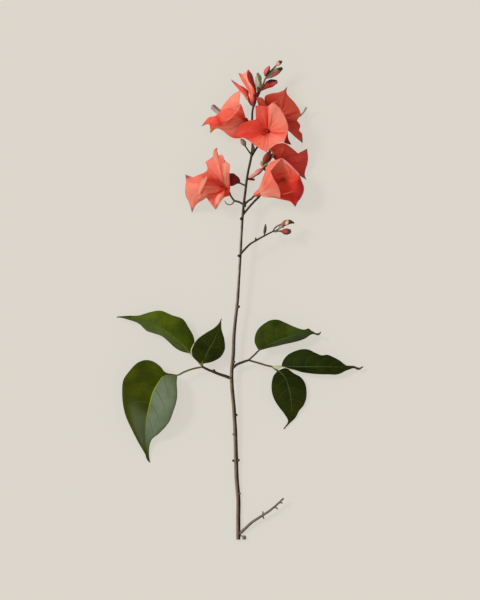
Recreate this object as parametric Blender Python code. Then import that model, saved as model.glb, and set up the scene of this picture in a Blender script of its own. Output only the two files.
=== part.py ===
# A cut flowering sprig of bougainvillea, lying on a flat surface.
#
# All places are in millimetres as (x, y, z): y runs along the sprig from the cut end of the
# stem, x is to the right and z is up from the surface. The function place() turns them into
# metres, with the origin under the middle of the sprig.

import math

import bmesh
import bpy
from mathutils import Vector

# Driving dimensions, in millimetres
SPRIG_LENGTH = 384.0
STEM_BASE_RADIUS = 1.75
STEM_TOP_RADIUS = 0.75
LEAF_THICKNESS = 0.7
BRACT_THICKNESS = 0.65
NARROWEST_BLADE = 1.0
PIECE_GAP = 0.3

# How finely the surfaces are divided
LEAF_ROWS = 10
LEAF_STEPS = 2
BRACT_STEPS = 2
EVENING_ROUNDS = 6
STEM_SIDES = 8
TWIG_SIDES = 6
BUD_SIDES = 8
CREASE_ANGLE = math.radians(40)

# How high the stem's middle lies above the surface, where one of its facets rests on it
BED = STEM_BASE_RADIUS * math.cos(math.pi / STEM_SIDES)

# Colours, as the photo shows them (sRGB, 0 to 255)
BARK = (92, 74, 62)
LEAF_GREEN = (52, 70, 32)
SALMON = (232, 108, 88)
ORANGE_RED = (204, 76, 60)
DEEP_RED = (168, 44, 38)
WINE_RED = (104, 20, 30)
BUD_GREEN = (112, 120, 78)
FLORET_GREY = (176, 172, 158)
BUD_BROWN = (150, 84, 56)


def place(point):
    """A place on the sprig, in metres in the part's own frame."""
    x, y, z = point
    return Vector((x, y - SPRIG_LENGTH / 2, z)) / 1000


def linear(channel):
    channel /= 255
    return channel / 12.92 if channel <= 0.04045 else ((channel + 0.055) / 1.055) ** 2.4


def finish(name, colour, roughness):
    """A plain material of the given colour."""
    material = bpy.data.materials.new(name)
    material.use_nodes = True
    shader = material.node_tree.nodes["Principled BSDF"]
    shader.inputs["Base Color"].default_value = [linear(c) for c in colour] + [1.0]
    shader.inputs["Roughness"].default_value = roughness
    shader.inputs["Metallic"].default_value = 0.0
    return material


# Curves and surfaces


def spline(points, steps, sharp=()):
    """Points along a smooth curve through the given ones; it turns a corner at the sharp ones."""
    points = [Vector(p) for p in points]
    last = len(points) - 1
    curve = []
    for i in range(last):
        a, b = points[i], points[i + 1]
        leave = b - a if i == 0 or i in sharp else (b - points[i - 1]) / 2
        arrive = b - a if i + 1 == last or i + 1 in sharp else (points[i + 2] - a) / 2
        for k in range(steps):
            t = k / steps
            curve.append(
                a * (1 + 2 * t) * (1 - t) ** 2
                + b * t * t * (3 - 2 * t)
                + leave * t * (1 - t) ** 2
                - arrive * t * t * (1 - t)
            )
    curve.append(points[last])
    return curve


def evenly(points, count):
    """count + 1 points, evenly spaced along the smooth curve through the given points."""
    curve = spline(points, 12)
    lengths = [0.0]
    for a, b in zip(curve, curve[1:]):
        lengths.append(lengths[-1] + (b - a).length)
    found, i = [], 0
    for k in range(count + 1):
        target = lengths[-1] * k / count
        while i < len(curve) - 2 and lengths[i + 1] < target:
            i += 1
        span = lengths[i + 1] - lengths[i]
        found.append(curve[i].lerp(curve[i + 1], (target - lengths[i]) / span if span else 0))
    return found


def widened(grid):
    """The rows of a blade, none narrower than the narrowest that a blade may be."""
    good = [i for i, row in enumerate(grid) if (row[-1] - row[0]).length >= NARROWEST_BLADE]
    for i, row in enumerate(grid):
        if i in good:
            continue
        near = grid[min(good, key=lambda g: abs(g - i))]
        direction = (near[-1] - near[0]).normalized()
        middle = (row[0] + row[-1]) / 2
        steps = len(row) - 1
        for k in range(steps + 1):
            row[k] = middle + direction * NARROWEST_BLADE * (k / steps - 0.5)
    return grid


def normal_at(grid, i, k, closed):
    """The direction that a grid of points faces at one of them."""
    columns = len(grid[0])
    up = grid[min(i + 1, len(grid) - 1)][k] - grid[max(i - 1, 0)][k]
    if closed:
        side = grid[i][(k + 1) % columns] - grid[i][k - 1]
    else:
        side = grid[i][min(k + 1, columns - 1)] - grid[i][max(k - 1, 0)]
    return up.cross(side).normalized()


def facing(grid, closed):
    """The direction of every point, evened out with its neighbours, so that both faces of a
    thick sheet bend round a fold without crossing."""
    rows, columns = len(grid), len(grid[0])
    ways = [[normal_at(grid, i, k, closed) for k in range(columns)] for i in range(rows)]
    for _ in range(EVENING_ROUNDS):
        evened = []
        for i in range(rows):
            row = []
            for k in range(columns):
                total = ways[i][k] * 2
                total += ways[max(i - 1, 0)][k] + ways[min(i + 1, rows - 1)][k]
                if closed:
                    total += ways[i][k - 1] + ways[i][(k + 1) % columns]
                else:
                    total += ways[i][max(k - 1, 0)] + ways[i][min(k + 1, columns - 1)]
                row.append(total.normalized())
            evened.append(row)
        ways = evened
    return ways


def mesh_object(name, points, faces):
    """A closed mesh with its faces pointing out, at the origin."""
    mesh = bpy.data.meshes.new(name)
    mesh.from_pydata([place(p) for p in points], [], faces)
    body = bmesh.new()
    body.from_mesh(mesh)
    bmesh.ops.recalc_face_normals(body, faces=body.faces)
    body.to_mesh(mesh)
    body.free()
    thing = bpy.data.objects.new(name, mesh)
    bpy.context.scene.collection.objects.link(thing)
    return thing


def thick_sheet(name, grid, thickness, closed=False):
    """A blade of one thickness on a grid of points. Each square of the grid is split along
    its shorter diagonal, alike on both faces."""
    rows, columns = len(grid), len(grid[0])
    ways = facing(grid, closed)
    upper, lower = [], []
    for i in range(rows):
        for k in range(columns):
            offset = ways[i][k] * thickness / 2
            upper.append(grid[i][k] + offset)
            lower.append(grid[i][k] - offset)
    under = rows * columns
    faces = []
    spans = columns if closed else columns - 1
    for i in range(rows - 1):
        for k in range(spans):
            a = i * columns + k
            after = (k + 1) % columns
            b = i * columns + after
            c, d = b + columns, a + columns
            here, there = grid[i], grid[i + 1]
            if (here[k] - there[after]).length < (here[after] - there[k]).length:
                halves = [(a, b, c), (a, c, d)]
            else:
                halves = [(a, b, d), (b, c, d)]
            faces += halves
            faces += [(under + p, under + r, under + q) for p, q, r in halves]
    top = (rows - 1) * columns
    for k in range(spans):
        b = (k + 1) % columns
        faces += [(k, under + k, under + b, b),
                  (top + k, top + b, under + top + b, under + top + k)]
    if not closed:
        for i in range(rows - 1):
            a, b = i * columns, (i + 1) * columns
            faces += [(a, b, under + b, under + a),
                      (a + columns - 1, under + a + columns - 1,
                       under + b + columns - 1, b + columns - 1)]
    return mesh_object(name, upper + lower, faces)


def tube(name, path, radii, sides=TWIG_SIDES, count=None):
    """A round stalk along a smooth path; its radius passes smoothly through the given radii."""
    count = count or len(path) - 1
    line = evenly(path, count)
    widths = evenly_values(radii, count)
    up = Vector((0, 0, 1))
    heading = (line[1] - line[0]).normalized()
    side = heading.cross(up)
    side = side.normalized() if side.length > 0.1 else Vector((1, 0, 0))
    points, faces = [], []
    for i, centre in enumerate(line):
        ahead = line[min(i + 1, count)] - line[max(i - 1, 0)]
        ahead.normalize()
        side = (side - ahead * side.dot(ahead)).normalized()
        top = side.cross(ahead)
        for k in range(sides):
            angle = 2 * math.pi * (k + 0.5) / sides
            points.append(centre + (side * math.sin(angle) - top * math.cos(angle)) * widths[i])
    for i in range(count):
        for k in range(sides):
            a, b = i * sides + k, i * sides + (k + 1) % sides
            faces.append((a, b, b + sides, a + sides))
    faces.append(tuple(range(sides)))
    faces.append(tuple(range(count * sides, (count + 1) * sides)))
    return mesh_object(name, points, faces)


def evenly_values(values, count):
    """Values spread evenly along a line, read at count + 1 even places."""
    found = []
    for k in range(count + 1):
        t = k / count * (len(values) - 1)
        i = min(int(t), len(values) - 2)
        found.append(values[i] + (values[i + 1] - values[i]) * (t - i))
    return found


def fuse(name, pieces):
    """Join the overlapping pieces of one node into one closed body."""
    body = pieces[0]
    if len(pieces) > 1:
        others = bpy.data.collections.new(name + "_others")
        for piece in pieces[1:]:
            bpy.context.scene.collection.objects.unlink(piece)
            others.objects.link(piece)
        bpy.context.scene.collection.children.link(others)
        union = body.modifiers.new("union", "BOOLEAN")
        union.operation = "UNION"
        union.solver = "EXACT"
        union.operand_type = "COLLECTION"
        union.collection = others
        evaluated = body.evaluated_get(bpy.context.evaluated_depsgraph_get())
        joined = bpy.data.meshes.new_from_object(evaluated)
        body.modifiers.clear()
        body.data = joined
        for piece in pieces[1:]:
            bpy.data.objects.remove(piece)
        bpy.data.collections.remove(others)
    body.name = name
    body.data.name = name
    return body


def settle(thing, seat, material, sprig):
    """Give a finished node its own origin, at the place where it grows, and its material."""
    origin = place(seat)
    for vertex in thing.data.vertices:
        vertex.co -= origin
    thing.location = origin
    thing.parent = sprig
    thing.data.materials.clear()
    thing.data.materials.append(material)
    thing.data.shade_smooth()
    thing.data.set_sharp_from_angle(angle=CREASE_ANGLE)


# The woody stem with everything that grew in one piece with it

STEM_LINE = [
    (-1.4, 0, BED), (-1.4, 16, BED), (-1.3, 32, BED + 0.03), (-2.6, 48, 1.9), (-3.2, 66, 2.8),
    (-3.8, 86, 4.2), (-5.0, 107, 5.8), (-6.6, 126, 7.0), (-6.6, 136, 7.4), (-5.4, 148, 8.0),
    (-4.9, 162, 8.8), (-3.7, 176, 9.6), (-2.0, 192, 10.6), (-1.0, 208, 11.5),
    (0.4, 232, 12.8), (1.8, 256, 14.0), (3.8, 275, 14.9), (6.2, 293, 15.7),
    (9.1, 307.3, 16.2), (10.2, 320, 16.6), (9.6, 334, 17), (11.0, 348, 17.4), (14.6, 356, 18),
]
STEM_ROWS = 40

# Each side twig: its middle line from inside the stem, and its radius at both ends
TWIGS = {
    "base_twig": ([(-1.2, 4, 1.8), (3.5, 8.2, 2.6), (8.5, 13, 3.6), (16.5, 18.5, 5.0),
                   (23, 22.7, 6.0), (30, 28.6, 6.9), (34.7, 33, 7.6)], 1.3, 0.8),
    "base_spur": ([(-1.2, 4, 1.8), (2.2, 3.6, 1.6), (4.0, 1.8, 1.5)], 1.25, 1.3),
    "twig_spur_up": ([(18, 19.5, 5.2), (18.4, 21, 5.8), (18.2, 22.6, 6.3)], 0.75, 0.5),
    "twig_spur_down": ([(18, 19.5, 5.2), (18.7, 17.8, 4.6), (19.2, 16.6, 4.3)], 0.75, 0.5),
    "twig_spur_end": ([(27.6, 26.6, 6.6), (29.2, 25.4, 6.2), (30.4, 24.4, 6.0)], 0.75, 0.5),
    "twig_spur_side": ([(31.2, 29.6, 7.1), (32.6, 29.7, 7.2), (34, 29.3, 7.3)], 0.75, 0.5),
    "left_leaf_twig": ([(-6.6, 129, 7.0), (-10.5, 130.6, 7.4), (-16, 132.4, 8.0),
                        (-21.3, 134.5, 8.5), (-26, 136.4, 8.9), (-30.2, 138.6, 9.2)], 1.35, 0.95),
    "right_leaf_twig": ([(-5.9, 137.6, 7.5), (-2.8, 140.2, 7.9), (1.9, 142.2, 8.4),
                         (7.2, 144, 8.9)], 1.2, 0.9),
    "bud_twig": ([(0.6, 229, 12.6), (4.6, 233.4, 13.2), (7.9, 236.6, 13.8),
                  (12.5, 239.4, 14.6), (19.8, 243.5, 15.6), (26.2, 246.7, 16.4),
                  (30.4, 248.3, 16.9)], 0.95, 0.6),
    "bud_twig_spur": ([(12, 239.1, 14.5), (12.6, 240.6, 14.9), (12.8, 242, 15.2)], 0.6, 0.35),
    "left_bloom_stalk": ([(3.2, 268, 14.6), (-0.8, 270.4, 14.3), (-4.6, 271.6, 13.8),
                          (-6.6, 274, 13.2), (-8.1, 276.6, 12.6)], 0.9, 0.75),
    "tendril": ([(-4.4, 271.5, 13.8), (-6.0, 269.2, 13.4), (-8.2, 268.2, 13.2),
                 (-10.4, 268.7, 13.5), (-12.2, 271.2, 14.2)], 0.55, 0.35),
    "dark_bud_stalk": ([(4.7, 283.4, 15.2), (2.2, 284.4, 14.4), (-0.4, 285.7, 13.2)], 0.75, 0.7),
    "front_bloom_stalk": ([(3.2, 268, 14.5), (6.6, 271.2, 14.6), (9.4, 273.2, 14.8),
                           (11.0, 275.0, 15.0)], 0.9, 0.85),
    "front_bloom_stalk_lower": ([(2.0, 259.6, 14.1), (6.6, 265.4, 13.9), (11.2, 270.6, 13.4),
                                 (14.9, 274.3, 12.9)], 0.9, 0.95),
    "side_branch": ([(5.6, 288.4, 15.5), (9.6, 290.2, 12.6), (14, 293.2, 11.2),
                     (18.6, 297.0, 10.8), (21.2, 300.6, 10.6), (22.8, 303.8, 10.4)], 0.75, 0.9),
    "side_spur": ([(6.8, 288.6, 14.8), (9.0, 288.3, 14.4), (11.4, 288.2, 14.2)], 0.75, 0.8),
    "olive_bud_stalk": ([(9.2, 308, 16.3), (6.6, 311.4, 17.2), (4.4, 314.8, 17.8)], 0.7, 0.6),
    "center_bloom_stalk": ([(9.2, 306.6, 16.2), (12.7, 312.6, 15.4), (16.2, 317.6, 14.6),
                            (18.6, 321.4, 14.4)], 0.85, 0.8),
    "upper_left_bloom_stalk": ([(10.1, 322, 16.7), (8.9, 326.4, 15.6),
                                (7.8, 330.2, 14.6)], 0.8, 0.75),
    "upper_right_bloom_stalk": ([(10.0, 330, 16.8), (14.6, 333.2, 13.8), (19.4, 335.4, 11.2),
                                 (22.8, 336.0, 10.2)], 0.8, 0.75),
    "top_twig": ([(14.2, 355, 17.9), (17.4, 361.6, 18.8), (20.2, 369, 19.4),
                  (24.6, 374.8, 19.8), (28.6, 378.8, 20)], 0.85, 0.5),
    "top_bract_stalk": ([(11.2, 348.6, 17.4), (10.8, 349.8, 18.4), (10.6, 350.8, 19.6)], 0.7, 0.7),
}

# Old leaf scars and knobs along the stem: where they sit, and which way they point
KNOBS = [
    ((-3.9, 63, 2.7), (-1, 0.2, 0.2)), ((-2.6, 63.5, 2.7), (1, 0.1, 0.3)),
    ((-3.6, 84, 4.1), (-1, 0.3, 0.2)), ((-4.4, 99.6, 5.2), (1, 0.2, 0.2)),
    ((-1.6, 36.4, 1.9), (1, 0.3, 0.5)), ((-6.6, 130.6, 7.2), (-0.8, -0.6, 0.5)),
    ((-5.8, 141.6, 7.7), (0.8, 0.7, 0.5)), ((-2.4, 186.4, 10.3), (1, 0.2, 0.3)),
    ((0.2, 227.4, 12.6), (-1, 0.3, 0.3)), ((1.6, 250, 13.7), (1, 0.4, 0.2)),
    ((3.6, 268.6, 14.7), (0.3, -1, 0.2)), ((-20.6, 134.2, 8.5), (-0.2, 1, 0.4)),
]
KNOB_REACH = (-1.0, 0.9, 1.7)
KNOB_RADII = (1.2, 1.25, 0.7)

# The stem keeps its width along this share of its length, and tapers evenly after it
EVEN_SHARE = 0.1


def stem_radius(fraction):
    """Half the stem's width at a fraction of its length."""
    tapered = max(0, fraction - EVEN_SHARE) / (1 - EVEN_SHARE)
    return STEM_BASE_RADIUS + (STEM_TOP_RADIUS - STEM_BASE_RADIUS) * tapered


def build_stem(sprig, bark):
    radii = [stem_radius(k / STEM_ROWS) for k in range(STEM_ROWS + 1)]
    pieces = [tube("axis", STEM_LINE, radii, STEM_SIDES, STEM_ROWS)]
    for name, (path, thick, thin) in TWIGS.items():
        pieces.append(tube(name, path, [thick, thin]))
    for seat, way in KNOBS:
        seat, way = Vector(seat), Vector(way).normalized()
        pieces.append(tube("knob", [seat + way * reach for reach in KNOB_REACH], KNOB_RADII))
    stem = fuse("stem", pieces)
    settle(stem, (-1.4, 0, BED), bark, sprig)


# The leaves: left edge, midrib and right edge, each from the leaf's base to its tip

LEAVES = {
    "leaf_left_upper": {
        "stalk": [(-30.5, 139.55, 9.58), (-35.2, 144.8, 10.2), (-39, 148.9, 10.6)],
        "left": [(-39, 148.9, 10.6), (-36.5, 159.5, 8.5), (-41.5, 170.5, 8), (-45, 176, 8.5),
                 (-55, 180, 9.5), (-64, 183.5, 9), (-73.5, 181.7, 7), (-79.5, 179.8, 7.5),
                 (-92, 179.2, 7.5), (-98.6, 178.4, 6)],
        "middle": [(-39, 148.9, 10.6), (-47, 157.5, 13), (-54.3, 163.4, 15),
                   (-64.2, 170.2, 15), (-77.4, 175.2, 12), (-89, 177.8, 8.5),
                   (-98.6, 178.4, 6)],
        "right": [(-39, 148.9, 10.6), (-49.6, 152.2, 10), (-56, 157.5, 9), (-62.9, 163.4, 10.5),
                  (-68.2, 165.1, 9.5), (-74.2, 167.2, 8.5), (-81, 173.1, 8),
                  (-92, 177, 7.5), (-98.6, 178.4, 6)],
    },
    "leaf_left_middle": {
        "stalk": [(-28.8, 140.3, 10.4), (-29.0, 141.8, 10.9), (-29.6, 143.4, 11.2)],
        "left": [(-29.6, 142.4, 11.2), (-37.6, 146.5, 14), (-38.3, 152.9, 15.5),
                 (-34.4, 160.2, 16.5), (-27.7, 165.4, 16), (-21, 169.4, 14.5),
                 (-17.4, 172.6, 13), (-15.1, 176.7, 12)],
        "middle": [(-29.6, 142.4, 11.2), (-25.8, 150.9, 13), (-21.2, 158.8, 14),
                   (-17.6, 168, 13.5), (-15.1, 176.7, 12)],
        "right": [(-29.6, 142.4, 11.2), (-21.8, 142.8, 11.5), (-15.1, 146.9, 11),
                  (-12.3, 152.2, 11), (-12.5, 160.2, 12), (-14.9, 169, 12.5),
                  (-15.1, 176.7, 12)],
    },
    "leaf_left_lower": {
        "stalk": [(-31.1, 137.9, 9.1), (-37.6, 136.4, 9.6), (-44.4, 135.1, 10.2),
                  (-50.2, 131.8, 10.6)],
        "left": [(-50.2, 131.8, 10.6), (-60.2, 134.3, 12.5), (-64.3, 139.5, 14),
                 (-69, 142.7, 14.5), (-75.4, 144, 14.5), (-81.5, 142.1, 14),
                 (-88.2, 135.5, 13), (-93.3, 128, 12.5), (-94.3, 118.6, 12),
                 (-93.7, 108.9, 11), (-91.4, 99, 9.5), (-86.7, 88.3, 7.5), (-82, 79, 5),
                 (-76, 68.5, 2.4), (-72.2, 61.8, 0.6)],
        "middle": [(-50.2, 131.8, 10.6), (-56, 132.6, 10.6), (-61.5, 130.8, 10.4),
                   (-66, 124.8, 9.8), (-69.8, 117.2, 9), (-72.8, 105.6, 7.5),
                   (-75.4, 92.3, 5.5), (-75.8, 82.3, 3.8), (-74.8, 72.4, 2), (-72.2, 61.8, 0.6)],
        "right": [(-50.2, 131.8, 10.6), (-50.6, 126.2, 14), (-50.2, 118.8, 16.5),
                  (-50.6, 112.2, 17.5), (-53, 103.6, 17), (-57.6, 93.2, 14.5),
                  (-64.2, 85.7, 10), (-70.8, 80, 5.6), (-73, 70, 2.4), (-72.2, 61.8, 0.6)],
    },
    "leaf_right_upper": {
        "stalk": [(7.57, 144.63, 9.16), (11.4, 148, 10.2), (15, 151.6, 10.8)],
        "left": [(15, 151.6, 10.8), (11.7, 158.8, 11), (13.3, 166.7, 10.5), (19.2, 173, 10),
                 (25.2, 176, 9.5), (30.5, 176, 9), (37.1, 173.4, 9.5), (43.8, 170.4, 10),
                 (51.8, 168.6, 10), (56.4, 168.2, 9.5), (61, 166, 9), (64.6, 166.2, 8)],
        "middle": [(15, 151.6, 10.8), (20, 154.9, 13), (28.6, 158.6, 14.5),
                   (37.1, 162.1, 14.5), (46.4, 164.8, 13), (56, 166, 10.5), (64.6, 166.2, 8)],
        "right": [(15, 151.6, 10.8), (23.9, 154, 10.5), (33.2, 156.2, 11), (42.5, 158.2, 10.5),
                  (51.8, 161.1, 10), (58.4, 164.6, 9), (64.6, 166.2, 8)],
    },
    "leaf_right_middle": {
        "stalk": [(8.4, 143.0, 8.7), (15.5, 141.4, 8.8), (21.5, 139.6, 9), (26.8, 138.6, 9.2),
                  (33.2, 138.9, 9.4)],
        "left": [(33.2, 138.9, 9.4), (34.4, 143, 9), (37.8, 147.5, 8.5), (43.1, 150.8, 8),
                 (49.1, 152.5, 8), (54.4, 152.3, 8.5), (61.7, 149, 9), (70.3, 147.8, 7.5),
                 (79.6, 143.5, 6.5), (86.5, 139.3, 6), (98.8, 138.5, 4)],
        "middle": [(33.2, 138.9, 9.4), (40, 138.8, 11.5), (46.4, 138.6, 13), (54.4, 138.6, 13.5),
                   (65, 138.6, 12.5), (75, 138.5, 10.5), (86.5, 138.1, 7.5), (98.8, 138.5, 4)],
        "right": [(33.2, 138.9, 9.4), (39.8, 136.8, 9), (50.4, 134.2, 8), (58.4, 133, 8.5),
                  (69.7, 132.6, 8), (77.6, 132.4, 6.5), (86.2, 136, 6), (98.8, 138.5, 4)],
    },
    "leaf_right_lower": {
        "stalk": [(26.9, 136.9, 8.8), (28.4, 136.3, 8.6), (30.4, 135.2, 8.4)],
        "left": [(30.2, 135.4, 8.4), (27, 131.5, 9.5), (25.3, 124.5, 10.5), (25.5, 118.5, 10.5),
                 (27.2, 112.9, 9.5), (31.2, 106.4, 7.5), (35.8, 100.4, 5), (38.4, 95.4, 2.6),
                 (35.3, 88.6, 0.6)],
        "middle": [(30.2, 135.4, 8.4), (35.8, 130, 8.4), (39.1, 121, 8), (40.9, 112, 6.8),
                   (41.1, 103, 4.8), (39.8, 95.1, 2.2), (35.3, 88.6, 0.6)],
        "right": [(30.2, 135.4, 8.4), (37.1, 137.4, 6.5), (42.5, 133.6, 5), (49.1, 129.6, 4),
                  (52.4, 124.3, 3.4), (53.4, 117.7, 3), (52.4, 111, 2.8), (50.4, 107, 2.5),
                  (47.1, 103, 2.2), (44.5, 98, 1.6), (40.2, 93.6, 1.2), (35.3, 88.6, 0.6)],
    },
}
STALK_RADIUS = 0.7
MIDRIB_RADIUS = 0.45
MIDRIB_DROP = Vector((0, 0, LEAF_THICKNESS * 0.6))


def build_leaf(name, shape, sprig, green):
    """A folded blade on its stalk, which runs on under the blade as its midrib."""
    edges = [evenly(shape[side], LEAF_ROWS) for side in ("left", "middle", "right")]
    grid = [spline(row, LEAF_STEPS, (1,)) for row in zip(*edges)]
    blade = thick_sheet("blade", widened(grid), LEAF_THICKNESS)
    stalk = [Vector(p) for p in shape["stalk"]]
    midrib = [Vector(p) - MIDRIB_DROP for p in shape["middle"][1:-1]]
    radii = [STALK_RADIUS] * len(stalk) + [MIDRIB_RADIUS] * len(midrib)
    stalk = tube("stalk", stalk + midrib, radii, TWIG_SIDES, len(radii) + 3)
    leaf = fuse(name, [blade, stalk])
    settle(leaf, shape["stalk"][0], green, sprig)


# The blooms. Each sheet of bracts is a fan or a closed ring of lines, which start on a small
# circle round the root and run out to the rim, to each tip, notch and fold in turn.

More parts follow.
